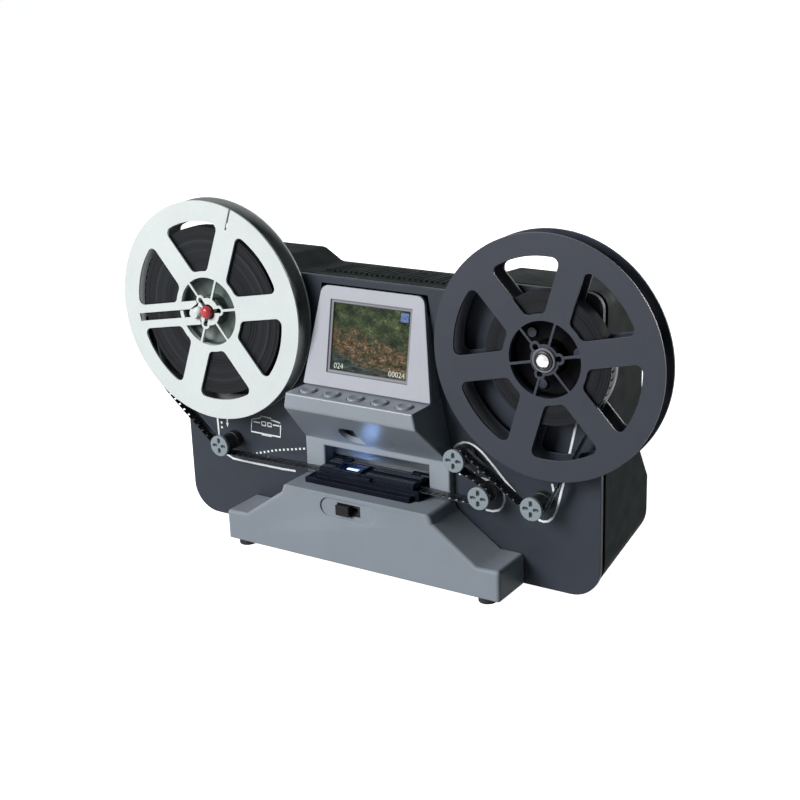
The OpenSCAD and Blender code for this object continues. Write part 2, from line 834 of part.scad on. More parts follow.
module base_plate() {
    inside = wall + seat_fit * 5;
    color([0.2, 0.2, 0.22])
        difference() {
            block(console_x - base_w / 2 + inside, console_x + base_w / 2 - inside,
                -pedestal_b + inside, base_d - inside, base_z, plate_z);
            for (p = base_screw_places) {
                pillar(p[0], p[1], screw_r + screw_gap / 2, base_z - cut, plate_z + cut);
                pillar(p[0], p[1], screw_head_r + screw_gap, base_z - cut, base_z + screw_head_h);
            }
        }
}

module feet() {
    color([0.07, 0.07, 0.07])
        for (s = [-1, 1], d = [foot_front_d, -foot_rear_b])
            pillar(console_x + s * foot_x, d, foot_r, 0, base_z);
}

// Console

module console_lower() {
    intersection() {
        bar(console_x - col_w, console_x + col_w)
            polygon([
                yz(0, deck_z), yz(col_d, deck_z), yz(col_d, wedge_low_z), yz(ledge_d, wedge_high_z),
                yz(ledge_d, ledge_z), yz(0, ledge_z)
            ]);
        slab(-cut, ledge_d + cut)
            translate([console_x, 0])
                polygon([
                    [-col_w / 2, deck_z], [col_w / 2, deck_z], [col_w / 2, wedge_low_z],
                    [ledge_low_w / 2, wedge_high_z], [ledge_w / 2, ledge_z], [-ledge_w / 2, ledge_z],
                    [-ledge_low_w / 2, wedge_high_z], [-col_w / 2, wedge_low_z]
                ]);
    }
}

module console_pod() {
    edge = wall / 3;
    intersection() {
        bar(console_x - col_w, console_x + col_w)
            polygon([yz(0, ledge_z - wall), yz(pod_d, ledge_z - wall), yz(pod_d, ledge_z), yz(0, pod_z)]);
        slab(-cut, ledge_d)
            translate([console_x, 0])
                polygon([
                    for (s = [-1, 1]) [s * (bezel_half(ledge_z) - edge), ledge_z - wall],
                    for (s = [1, -1]) [s * (bezel_half(pod_z) - edge), pod_z]
                ]);
    }
}

// Height of the inside of the leaning underside at a depth
function wedge_inner(d) = wedge_low_z + (d - col_d) * wedge_slope + wall * sqrt(1 + pow(wedge_slope, 2));

module console_cavity() {
    low_z = wedge_low_z + wall;
    low_d = col_d + (wall - wall * sqrt(1 + pow(wedge_slope, 2))) / wedge_slope;
    side_x = ledge_w / 2 - wall;
    bar(console_x - side_x, console_x + side_x)
        polygon([
            yz(-cut, low_z), yz(low_d, low_z), yz(ledge_d - wall, wedge_inner(ledge_d - wall)),
            yz(ledge_d - wall, ledge_z - ledge_t), yz(-cut, ledge_z - ledge_t)
        ]);
}

module on_bezel(w) {
    translate([console_x, panel_y - bezel_d, bezel_z])
        rotate([90 - bezel_lean, 0, 0])
            translate([0, 0, w])
                children();
}

camera_z = ledge_z - camera_drop;
camera_rib_x = port_l / 2 + 3;
boss_places = [for (s = [-1, 1]) console_x + s * button_pitch / 2];
standoff_r = button_pitch / 2 - button_r - 2 * button_gap - button_collar;
button_board_z = ledge_z - ledge_t - button_gap - button_collar_t - button_travel - 4.1;

module console_body() {
    color([0.5, 0.52, 0.56])
        difference() {
            union() {
                difference() {
                    union() {
                        console_lower();
                        console_pod();
                        block(console_x - recess_w / 2 - recess_wall, console_x + recess_w / 2 + recess_wall,
                            -recess_b - recess_wall, 0, deck_z - recess_wall, recess_z + recess_wall);
                    }
                    console_cavity();
                    on_bezel(-bezel_t - window_t - 3 * lcd_t)
                        translate([0, screen_low + screen_h / 2, 0])
                            linear_extrude(4 * lcd_t)
                                square([screen_open_w, screen_h + 2 * lcd_edge + 2], center = true);
                }
                intersection() {
                    console_lower();
                    union() {
                        for (s = [-1, 1])
                            block(console_x + s * camera_rib_x - 1, console_x + s * camera_rib_x + 1,
                                0, ledge_d, wedge_low_z, camera_z);
                        block(console_x - camera_rib_x, console_x + camera_rib_x,
                            col_d - 1.2, col_d + 0.4, wedge_low_z, camera_z);
                    }
                }
                for (x = boss_places)
                    pillar(x, button_d, standoff_r, button_board_z + board_t, ledge_z - ledge_t / 2);
            }
            block(console_x - recess_w / 2, console_x + recess_w / 2,
                -recess_b, col_d + cut, deck_z, lip_z);
            block(console_x - recess_w / 2, console_x + recess_w / 2,
                -lip_b, col_d + cut, lip_z - cut, recess_z);
            for (x = button_places)
                pillar(x, button_d, button_r + button_gap, ledge_z - ledge_t - cut, ledge_z + cut);
            translate([console_x, panel_y - port_d, wedge_low_z])
                linear_extrude(camera_z - wedge_low_z - board_t)
                    racetrack(port_l, port_w);
        }
}

// Screen

module bezel_outline() {
    top_half = bezel_top_w / 2 - bezel_r;
    low_r = bezel_r / 6;
    low_half = bezel_w / 2 - low_r;
    hull() {
        for (s = [-1, 1]) {
            translate([s * top_half, bezel_h - bezel_r])
                circle(r = bezel_r, $fn = 32);
            translate([s * low_half, low_r])
                circle(r = low_r, $fn = 32);
        }
    }
}

module screen_area(grow) {
    translate([0, screen_low + screen_h / 2])
        square([screen_w + 2 * grow, screen_h + 2 * grow], center = true);
}

module screen_bezel() {
    color([0.74, 0.73, 0.78])
        difference() {
            on_bezel(-bezel_t) linear_extrude(bezel_t) bezel_outline();
            on_bezel(-bezel_t - cut) linear_extrude(bezel_t + 2 * cut) screen_area(0);
            on_bezel(-screen_step_t) linear_extrude(screen_step_t + cut) screen_area(screen_step);
        }
}

module screen_window() {
    color([0.3, 0.32, 0.34, 0.4])
        on_bezel(-bezel_t - window_t) linear_extrude(window_t) screen_area(lcd_edge);
}

module lcd_module() {
    color([0.2, 0.3, 0.2])
        on_bezel(-bezel_t - window_t - lcd_t) linear_extrude(lcd_t) screen_area(lcd_edge);
}

// Buttons

module button(i) {
    x = button_places[i];
    collar_z = ledge_z - ledge_t - button_gap;
    color([0.45, 0.47, 0.5]) {
        pillar(x, button_d, button_r, collar_z - button_collar_t, ledge_z + button_h);
        pillar(x, button_d, button_r + button_gap + button_collar, collar_z - button_collar_t, collar_z);
    }
}

module button_1() { button(0); }
module button_2() { button(1); }
module button_3() { button(2); }
module button_4() { button(3); }
module button_5() { button(4); }

module button_board() {
    half = 2 * button_pitch + 5;
    board_d = 4.6;
    top_z = button_board_z + board_t;
    switch_top_z = top_z + 2.2;
    color([0.1, 0.35, 0.18]) {
        block(console_x - half, console_x + half, button_d - board_d, button_d + board_d / 2,
            button_board_z, top_z);
        for (x = button_places) {
            block(x - 3, x + 3, button_d - 3, button_d + 2, top_z, switch_top_z);
            pillar(x, button_d, 1.4, switch_top_z, top_z + 2.4);
        }
    }
}

// Format switch

slider_x = console_x + switch_x - switch_slot_l / 2 + switch_gap + switch_knob_l / 2;
slider_travel = switch_slot_l - switch_knob_l - 2 * switch_gap;
slider_stem_l = 3;
slider_stem_b = 3;

module switch_slider() {
    half_h = switch_slot_w / 2 - switch_gap;
    back_d = base_d - wall - switch_gap;
    color([0.06, 0.06, 0.07]) {
        block(slider_x - switch_knob_l / 2, slider_x + switch_knob_l / 2,
            back_d, base_d + switch_knob_d, switch_z - half_h, switch_z + half_h);
        block(slider_x - slider_stem_l / 2, slider_x + slider_stem_l / 2,
            back_d - slider_stem_b, back_d, switch_z - 1, switch_z + 1);
    }
}

module switch_body() {
    front_d = base_d - wall;
    half_l = switch_slot_l / 2 + 4;
    half_h = switch_slot_w / 2 + 1.6;
    slot_half = slider_travel + slider_stem_l / 2 + switch_gap;
    x0 = console_x + switch_x;
    back_d = front_d - slider_stem_b - 4;
    color([0.12, 0.12, 0.13])
        difference() {
            block(x0 - half_l, x0 + half_l, back_d, front_d, switch_z - half_h, switch_z + half_h);
            block(slider_x - slider_stem_l / 2 - switch_gap, slider_x + slot_half,
                front_d - slider_stem_b - 2, front_d + cut, switch_z - 1 - switch_gap, switch_z + 1 + switch_gap);
            block(x0 - switch_slot_l / 2, x0 + switch_slot_l / 2,
                front_d - 2 * switch_gap, front_d + cut,
                switch_z - switch_slot_w / 2, switch_z + switch_slot_w / 2);
        }
}

// Film gate

bed_back_d = film_d - film_w / 2 - film_gap - rail_w;
bed_front_d = film_d + film_w / 2 + film_gap + rail_w;
lug_x = cover_w / 2 - knuckle_l;
lug_gap = 0.4;

module gate_lug(s) {
    x0 = s > 0 ? console_x + lug_x + lug_gap : console_x - lug_x - lug_gap - knuckle_l;
    cross_rod(-hinge_b, hinge_z, knuckle_r, x0, x0 + knuckle_l);
    block(x0, x0 + knuckle_l, -hinge_b - knuckle_r, -hinge_b + knuckle_r, deck_z + gate_t / 2, hinge_z);
}

module gate_base() {
    x0 = console_x - gate_in_w / 2;
    x1 = console_x + gate_in_w / 2;
    plate_top = deck_z + gate_t;
    color([0.08, 0.08, 0.1])
        difference() {
            union() {
                block(gate_x - gate_w / 2, gate_x + gate_w / 2, col_d + film_gap, gate_d, deck_z, plate_top);
                block(x0, x1, -recess_b + seat_fit * 5, col_d + cut, deck_z, plate_top);
                block(x0, x1, bed_back_d, bed_front_d, deck_z, bed_z);
                for (d = [bed_back_d, bed_front_d - rail_w])
                    block(x0, x1, d, d + rail_w, deck_z, bed_z + rail_h);
                for (s = [-1, 1])
                    gate_lug(s);
            }
            for (s = [-1, 1])
                cross_rod(-hinge_b, hinge_z, pin_r + seat_fit, console_x + s * cover_w / 2 - knuckle_l,
                    console_x + s * cover_w / 2 + knuckle_l);
            block(light_x - diffuser_w / 2 - seat_fit, light_x + diffuser_w / 2 + seat_fit,
                film_d - diffuser_l / 2 - seat_fit, film_d + diffuser_l / 2 + seat_fit,
                deck_z - cut, plate_top);
            block(light_x - aperture_w / 2, light_x + aperture_w / 2,
                film_d - aperture_l / 2, film_d + aperture_l / 2, deck_z, bed_z + cut);
            claw_slot(deck_z - cut, bed_z + cut);
        }
}

module gate_pin() {
    reach = lug_x + lug_gap + knuckle_l;
    color([0.7, 0.7, 0.72])
        cross_rod(-hinge_b, hinge_z, pin_r, console_x - reach, console_x + reach);
}

module gate_cover() {
    back_d = 0;
    top_z = cover_z + cover_t;
    rib_h = 0.6;
    rib_w = 1;
    color([0.07, 0.07, 0.09])
        difference() {
            union() {
                block(console_x - cover_w / 2, console_x + cover_w / 2, back_d, cover_d, cover_z, top_z);
                for (d = [cover_d - 2 * rib_w, back_d + rib_w])
                    block(console_x - cover_w / 2, console_x + cover_w / 2, d, d + rib_w, cover_z, top_z + rib_h);
                block(console_x - tab_w / 2, console_x + tab_w / 2,
                    cover_d - cut, cover_d + tab_l, cover_z + cover_t / 3, top_z);
                for (s = [-1, 1]) {
                    x0 = s > 0 ? console_x + lug_x - knuckle_l : console_x - lug_x;
                    cross_rod(-hinge_b, hinge_z, knuckle_r, x0, x0 + knuckle_l);
                    block(x0, x0 + knuckle_l, -hinge_b, back_d + cut, cover_z, top_z);
                }
            }
            for (s = [-1, 1])
                cross_rod(-hinge_b, hinge_z, pin_r + run_fit,
                    console_x + s * lug_x - s * knuckle_l / 2 - knuckle_l,
                    console_x + s * lug_x - s * knuckle_l / 2 + knuckle_l);
            block(light_x - cover_window_w / 2, light_x + cover_window_w / 2,
                film_d - cover_window_l / 2, film_d + cover_window_l / 2, cover_z - cut, top_z + cut);
        }
}

module light_diffuser() {
    color([0.85, 0.9, 1])
        block(light_x - diffuser_w / 2, light_x + diffuser_w / 2,
            film_d - diffuser_l / 2, film_d + diffuser_l / 2, deck_z - wall, deck_z + gate_t);
}

module led_board() {
    half = aperture_w / 2 + 2 * board_edge - 1;
    led_h = 2;
    color([0.8, 0.82, 0.8]) {
        block(light_x - half, light_x + half, film_d - board_edge, film_d + board_edge, led_z, led_z + board_t);
        pillar(light_x, film_d, 2.5, led_z + board_t, led_z + board_t + led_h);
    }
}

module film_claw() {
    low_z = led_z - carriage_h;
    color([0.75, 0.75, 0.78]) {
        block(claw_x - 0.5, claw_x + 0.5, claw_d - 0.5, claw_d + 0.5, led_z - 1, bed_z - 0.2);
        block(claw_x - 4, claw_x + 4, film_d - 4, film_d + 4, low_z, led_z);
    }
}

module claw_drive() {
    color([0.3, 0.3, 0.33])
        block(claw_x - drive_l * 5 / 12, claw_x + drive_l * 7 / 12, film_d - drive_w / 2, film_d + drive_w / 2,
            plate_z, led_z - carriage_h - film_gap);
}

module camera_module() {
    color([0.1, 0.3, 0.16]) {
        block(console_x - camera_rib_x - 2, console_x + camera_rib_x + 2, 1, film_d + sensor_w * 4 / 7,
            camera_z, camera_z + board_t);
        block(light_x - sensor_w / 2, light_x + sensor_w / 2, 2, film_d + sensor_w / 4,
            camera_z + board_t, camera_z + board_t + sensor_h);
    }
}

module camera_lens() {
    color([0.08, 0.08, 0.09])
        difference() {
            pillar(light_x, film_d, lens_r, camera_z - lens_l, camera_z);
            pillar(light_x, film_d, lens_bore_r, camera_z - lens_l - cut, camera_z - lens_l * 2 / 3);
        }
}

// Film path: circles that the film passes, each with its place, radius and turning sense

entry_place = [entry_x, low_roller_z];
return_place = [return_x, return_z];
exit_place = [exit_x, low_roller_z];
guide_place = [guide_x, low_roller_z];
roller_places = [entry_place, return_place, exit_place, guide_place];

film_wrap_r = film_gap + film_t / 2;
film_stops = [
    [[supply_x, reel_z], supply_pack_r + film_wrap_r, 1],
    [[supply_x + slack_x, reel_z - slack_drop], slack_r, 1],
    [entry_place, roller_r + film_wrap_r, 1],
    [[console_x - gate_in_w / 2, film_z], 0, 1],
    [[console_x + gate_in_w / 2, film_z], 0, 1],
    [exit_place, roller_r + film_wrap_r, 1],
    [return_place, roller_r + film_wrap_r, -1],
    [guide_place, roller_r + film_wrap_r, 1],
    [[take_x, reel_z], take_pack_r + film_wrap_r, 1]
];

// Heading of the film between two stops
function heading(a, b) =
    let (v = b[0] - a[0], turn = b[2] * b[1] - a[2] * a[1])
    atan2(v[1], v[0]) - asin(turn / norm(v));

headings = [for (i = [0:len(film_stops) - 2]) heading(film_stops[i], film_stops[i + 1])];
arc_steps = 12;

function left_of(angle) = [-sin(angle), cos(angle)];

// Points of the film's middle line, each with the heading there
film_points = [
    for (i = [0:len(film_stops) - 1])
        let (
            s = film_stops[i],
            first = i == 0 ? headings[0] : headings[i - 1],
            last = i == len(headings) ? headings[i - 1] : headings[i],
            steps = s[1] == 0 || first == last ? 0 : arc_steps
        )
        for (k = [0:steps])
            let (angle = steps == 0 ? (first + last) / 2 : first + (last - first) * k / steps)
            [s[0] - s[2] * s[1] * left_of(angle), angle]
];

module film_strip() {
    last = len(film_points) - 1;
    color([0.1, 0.09, 0.08])
        slab(film_d - film_w / 2, film_d + film_w / 2)
            polygon([
                for (p = film_points) p[0] + left_of(p[1]) * film_t / 2,
                for (i = [0:last]) film_points[last - i][0] - left_of(film_points[last - i][1]) * film_t / 2
            ]);
}

// Rollers

roller_back_d = film_d - roller_gap / 2;
roller_front_d = film_d + roller_gap / 2;

module roller(place) {
    color([0.16, 0.18, 0.18])
        difference() {
            union() {
                rod(place[0], place[1], roller_r, roller_back_d, roller_front_d);
                rod(place[0], place[1], roller_flange_r, roller_back_d - roller_flange_t, roller_back_d);
            }
            rod(place[0], place[1], post_r + run_fit, roller_back_d - roller_flange_t - cut, roller_front_d + cut);
        }
}

module roller_cap(place) {
    color([0.6, 0.62, 0.65])
        difference() {
            rod(place[0], place[1], cap_r, roller_front_d, roller_front_d + cap_t);
            translate([place[0], panel_y - roller_front_d - cap_t / 2, place[1]])
                rotate([90, 0, 0])
                    for (k = [0:3])
                        rotate(k * 90)
                            translate([cap_ring_r, 0])
                                linear_extrude(cap_t)
                                    racetrack(cap_slot_l, 2 * cap_hole_r);
        }
}

module entry_roller() { roller(entry_place); }
module entry_roller_cap() { roller_cap(entry_place); }
module return_roller() { roller(return_place); }
module return_roller_cap() { roller_cap(return_place); }
module exit_roller() { roller(exit_place); }
module exit_roller_cap() { roller_cap(exit_place); }
module guide_roller() { roller(guide_place); }
module guide_roller_cap() { roller_cap(guide_place); }

module roller_posts() {
    color([0.7, 0.7, 0.72])
        for (p = roller_places)
            rod(p[0], p[1], post_r, -panel_t, roller_front_d - film_gap);
}

// Reels

flange_front_d = reel_front_d - flange_t;
rear_flange_d = reel_back + flange_t;

module reel_axis(x, d) {
    translate([x, panel_y - d, reel_z])
        rotate([90, 0, 0])
            children();
}

module spoke_set(angle, w) {
    for (k = [0:spokes - 1])
        rotate(angle + k * 360 / spokes)
            translate([0, -w / 2])
                square([reel_dia / 2, w]);
}

// Flat disc with rounded windows between its spokes, lying on its back face
module boss_outline() {
    circle(r = boss_r);
    for (k = [0:2])
        rotate(fin_angle + k * 120)
            translate([boss_r, 0])
                circle(r = lobe_r, $fn = 32);
}

module boss_bore() {
    circle(r = bore_r);
    for (k = [0:2])
        rotate(fin_angle + k * 120) {
            translate([0, -fin_t / 2 - fin_gap])
                square([boss_r, fin_t + 2 * fin_gap]);
            translate([boss_r, 0])
                circle(r = lobe_r / 2, $fn = 32);
        }
}

module windowed_disc(angle) {
    difference() {
        cylinder(r = reel_dia / 2, h = flange_t);
        translate([0, 0, -cut])
            linear_extrude(flange_t + 2 * cut)
                offset(r = window_r, $fn = 24)
                    offset(delta = -window_r)
                        difference() {
                            circle(r = window_out_r, $fn = 96);
                            circle(r = window_in_r, $fn = 96);
                            spoke_set(angle, spoke_w);
                        }
    }
}

module reel_front(x, angle, slot) {
    reel_axis(x, flange_front_d)
        difference() {
            union() {
                difference() {
                    windowed_disc(angle);
                    translate([0, 0, -cut])
                        cylinder(r = hub_r - hub_wall, h = flange_t + 2 * cut);
                }
                intersection() {
                    cylinder(r = hub_r, h = flange_t);
                    linear_extrude(flange_t)
                        spoke_set(angle, rib_t);
                }
                linear_extrude(flange_t)
                    boss_outline();
                if (slot)
                    rotate(angle + 180) {
                        translate([boss_hole_r + 1, -spoke_w / 2, 0])
                            cube([hub_r - boss_hole_r, spoke_w, flange_t]);
                        translate([boss_hole_r + clip_r, 0, 0])
                            cylinder(r = clip_r, h = flange_t + clip_h);
                    }
            }
            translate([0, 0, -cut])
                linear_extrude(flange_t + 2 * cut)
                    boss_bore();
            if (slot) {
                rotate(angle + 180)
                    translate([boss_hole_r + 2 * clip_r + 1, -thread_slot_w / 2, -cut])
                        cube([window_out_r - boss_hole_r - 2 * clip_r, thread_slot_w, flange_t + 2 * cut]);
                rotate(angle + split_angle)
                    translate([window_out_r - 1, -split_w / 2, -cut])
                        cube([reel_dia, split_w, flange_t + 2 * cut]);
            }
        }
}

module reel_rear(x, angle, lugs) {
    lug_ring_r = (hub_r - hub_wall + boss_r + lobe_r) / 2;
    reel_axis(x, reel_back) {
        difference() {
            union() {
                windowed_disc(angle);
                cylinder(r = hub_r, h = flange_t + reel_gap);
            }
            translate([0, 0, -cut])
                cylinder(r = hub_r - hub_wall, h = flange_t + reel_gap + 2 * cut);
        }
        linear_extrude(flange_t)
            difference() {
                union() {
                    intersection() {
                        circle(r = hub_r - hub_wall / 2);
                        spoke_set(angle, rib_t);
                    }
                    boss_outline();
                }
                boss_bore();
            }
        if (lugs)
            for (k = [0:2])
                rotate(angle + k * 120)
                    translate([lug_ring_r, 0, 0])
                        cylinder(r = lug_r, h = flange_t + lug_h);
    }
}

module supply_reel_front() { color([0.88, 0.91, 0.89]) reel_front(supply_x, supply_angle, true); }
module supply_reel_rear() { color([0.8, 0.84, 0.82]) reel_rear(supply_x, supply_angle, false); }
module take_up_reel_front() { color([0.28, 0.3, 0.33]) reel_front(take_x, take_angle, false); }
module take_up_reel_rear() { color([0.2, 0.21, 0.23]) reel_rear(take_x, take_angle, true); }

// Film packs: a plain core, and over it the outer turns as one unbroken strip

turn_steps = 48;

function turn_core_r(pack_r) = pack_r - pack_turns * turn_pitch - turn_t / 2;
function turn_point(pack_r, i) =
    let (r = turn_core_r(pack_r) + turn_pitch * (i / turn_steps), a = i * 360 / turn_steps)
    [r * cos(a), r * sin(a)];
function turn_gap(pack_r) =
    min([for (i = [0:turn_steps * (pack_turns - 1)])
        norm(turn_point(pack_r, i + turn_steps) - turn_point(pack_r, i))]) - turn_t;

echo(supply_turn_gap = turn_gap(supply_pack_r), take_up_turn_gap = turn_gap(take_pack_r));

module outer_turns(pack_r) {
    count = turn_steps * pack_turns;
    points = [
        for (i = [0:count])
            let (p = turn_point(pack_r, i), u = p / norm(p))
            for (corner = [[-1, 0], [1, 0], [1, 1], [-1, 1]])
                [each (p + u * corner[0] * turn_t / 2), corner[1] * film_w]
    ];
    sides = [
        for (i = [0:count - 1], k = [0:3])
            let (a = 4 * i + k, b = 4 * i + (k + 1) % 4)
            each [[a, b, b + 4], [a, b + 4, a + 4]]
    ];
    last = 4 * count;
    polyhedron(points, concat(sides, [[0, 3, 2], [0, 2, 1], [last, last + 1, last + 2], [last, last + 2, last + 3]]));
}

module film_pack(x, pack_r) {
    core_r = turn_core_r(pack_r) - turn_t / 2 - 0.5;
    color([0.12, 0.11, 0.1])
        reel_axis(x, film_d - film_w / 2) {
            difference() {
                cylinder(r = core_r, h = film_w);
                translate([0, 0, -cut])
                    cylinder(r = hub_r + seat_fit, h = film_w + 2 * cut);
            }
            outer_turns(pack_r);
        }
}

module supply_film_pack() { film_pack(supply_x, supply_pack_r); }
module take_up_film_pack() { film_pack(take_x, take_pack_r); }

// Spindles and drive

module spindle(x, back_b_end) {
    collar_d = reel_back / 3;
    difference() {
        union() {
            rod(x, reel_z, spindle_r, -back_b_end, tip_d - tip_l);
            rod(x, reel_z, collar_r, collar_d, reel_back);
            reel_axis(x, collar_d)
                linear_extrude(reel_front_d + flange_t - collar_d)
                    intersection() {
                        circle(r = fin_r);
                        for (k = [0:2])
                            rotate(fin_angle + k * 120)
                                translate([0, -fin_t / 2])
                                    square([2 * fin_r, fin_t]);
                    }
        }
        rod(x, reel_z, spindle_r + tip_r, tip_d - tip_l, tip_d + cut);
    }
}

module spindle_tip(x) {
    reel_axis(x, tip_d - tip_l)
        rotate_extrude()
            polygon([
                [0, 0], [tip_r, 0], [tip_r, tip_l * 0.6], [tip_r * 0.7, tip_l * 0.9], [tip_r * 0.35, tip_l], [0, tip_l]
            ]);
}

module supply_spindle() { color([0.08, 0.08, 0.09]) spindle(supply_x, pulley_b + pulley_w); }
module take_up_spindle() { color([0.1, 0.1, 0.11]) spindle(take_x, pulley_b + pulley_w); }
module supply_spindle_tip() { color([0.7, 0.1, 0.12]) spindle_tip(supply_x); }
module take_up_spindle_tip() { color([0.8, 0.81, 0.83]) spindle_tip(take_x); }

module spindle_bushes() {
    color([0.8, 0.68, 0.4])
        for (x = [supply_x, take_x])
            difference() {
                rod(x, reel_z, bush_r, -bush_b, 0);
                rod(x, reel_z, spindle_r + run_fit, -bush_b - cut, cut);
            }
}

module supply_brake_disc() {
    color([0.5, 0.2, 0.15])
        difference() {
            rod(supply_x, reel_z, brake_r, -pulley_b - pulley_w / 2, -pulley_b);
            rod(supply_x, reel_z, spindle_r, -pulley_b - pulley_w, -pulley_b + cut);
        }
}

// Pulley with a belt groove, lying along its axis from its back face
module pulley(run_r, shaft_r) {
    groove_w = belt_w + 2 * film_gap;
    rim_w = (pulley_w - groove_w) / 2;
    difference() {
        union() {
            cylinder(r = run_r, h = pulley_w);
            for (z = [0, pulley_w - rim_w])
                translate([0, 0, z])
                    cylinder(r = run_r + pulley_rim, h = rim_w);
        }
        translate([0, 0, -cut])
            cylinder(r = shaft_r, h = pulley_w + 2 * cut);
    }
}

module take_up_pulley() {
    color([0.75, 0.75, 0.72])
        reel_axis(take_x, -pulley_b - pulley_w) pulley(big_pulley_r, spindle_r);
}

module motor_pulley() {
    color([0.75, 0.75, 0.72])
        reel_axis(motor_x, -pulley_b - pulley_w) pulley(small_pulley_r, motor_shaft_r + run_fit);
}

module belt_outline(grow) {
    hull() {
        circle(r = small_pulley_r + film_gap + grow, $fn = 48);
        translate([-motor_dx, 0])
            circle(r = big_pulley_r + film_gap + grow, $fn = 96);
    }
}

module drive_belt() {
    color([0.06, 0.06, 0.06])
        reel_axis(motor_x, -pulley_b - (pulley_w + belt_w) / 2)
            linear_extrude(belt_w)
                difference() {
                    belt_outline(belt_t);
                    belt_outline(0);
                }
}

bracket_b = pulley_b + pulley_w + 1.5;
bracket_t = 2;
bracket_half = motor_r + 2;
bracket_leg_x = 5;

module take_up_motor() {
    back = bracket_b + bracket_t;
    color([0.6, 0.6, 0.62])
        union() {
            rod(motor_x, reel_z, motor_r, -back - motor_l, -back);
            rod(motor_x, reel_z, motor_shaft_r, -back, -pulley_b + film_gap);
        }
}

module motor_bracket() {
    leg_z = big_pulley_r + belt_t + 4;
    color([0.65, 0.66, 0.68])
        difference() {
            union() {
                block(motor_x - bracket_half, motor_x + bracket_half, -bracket_b - bracket_t, -bracket_b,
                    reel_z - leg_z - bracket_leg_x, reel_z + bracket_half);
                block(motor_x - bracket_half, motor_x + bracket_half, -bracket_b - bracket_t, -panel_t,
                    reel_z - leg_z - bracket_leg_x, reel_z - leg_z);
            }
            rod(motor_x, reel_z, motor_shaft_r * 2, -bracket_b - bracket_t - cut, -bracket_b + cut);
        }
}

// Boards and sockets

module main_board() {
    color([0.1, 0.35, 0.18])
        block(console_x - main_w / 2, console_x + main_w / 2, -main_b - board_t, -main_b, main_z, main_z + main_h);
}

module power_socket() {
    mouth_l = 9;
    color([0.06, 0.06, 0.07])
        difference() {
            rod(jack_x, socket_z, jack_w / 2, -back_b, -main_b - board_t);
            difference() {
                rod(jack_x, socket_z, jack_r, -back_b - cut, -back_b + mouth_l);
                rod(jack_x, socket_z, jack_r / 3, -back_b, -back_b + mouth_l);
            }
        }
}

module slot_socket(x, w, h) {
    rim = 0.8;
    difference() {
        block(x - w / 2, x + w / 2, -back_b, -main_b - board_t, socket_z - h / 2, socket_z + h / 2);
        block(x - w / 2 + rim, x + w / 2 - rim, -back_b - cut, -main_b - board_t - 2 * rim,
            socket_z - h / 2 + rim, socket_z + h / 2 - rim);
    }
}

module card_socket() { color([0.75, 0.75, 0.77]) slot_socket(card_x, card_w, card_h); }
module data_socket() { color([0.78, 0.78, 0.8]) slot_socket(data_x, data_w, data_h); }

// Fasteners

module housing_screws() {
    color([0.55, 0.55, 0.57])
        for (p = housing_screw_places) {
            rod(p[0], p[1], screw_r, -p[2] + screw_head_h, -panel_t - 1);
            rod(p[0], p[1], screw_head_r, -p[2], -p[2] + screw_head_h);
        }
}

module base_screws() {
    shank_l = 9;
    color([0.55, 0.55, 0.57])
        for (p = base_screw_places) {
            pillar(p[0], p[1], screw_head_r, base_z, base_z + screw_head_h);
            pillar(p[0], p[1], screw_r, base_z + screw_head_h, base_z + screw_head_h + shank_l);
        }
}

front_panel();
rear_housing();
top_grille();
base_shell();
base_plate();
console_body();
screen_bezel();
screen_window();
lcd_module();
button_board();
button_1();
button_2();
button_3();
button_4();
button_5();
switch_body();
switch_slider();
gate_base();
gate_cover();
gate_pin();
light_diffuser();
led_board();
camera_module();
camera_lens();
film_claw();
claw_drive();
film_strip();
roller_posts();
entry_roller();
entry_roller_cap();
return_roller();
return_roller_cap();
exit_roller();
exit_roller_cap();
guide_roller();
guide_roller_cap();
spindle_bushes();
supply_reel_front();
supply_reel_rear();
supply_film_pack();
supply_spindle();
supply_spindle_tip();
supply_brake_disc();
take_up_reel_front();
take_up_reel_rear();
take_up_film_pack();
take_up_spindle();
take_up_spindle_tip();
take_up_pulley();
motor_pulley();
take_up_motor();
motor_bracket();
drive_belt();
main_board();
power_socket();
card_socket();
data_socket();
housing_screws();
base_screws();
feet();
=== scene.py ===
"""Film scanner for 8 mm film: finished surfaces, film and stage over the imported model."""
import json
import math

import bmesh
import bpy
from bpy.props import FloatProperty, FloatVectorProperty, PointerProperty
from mathutils import Matrix, Vector

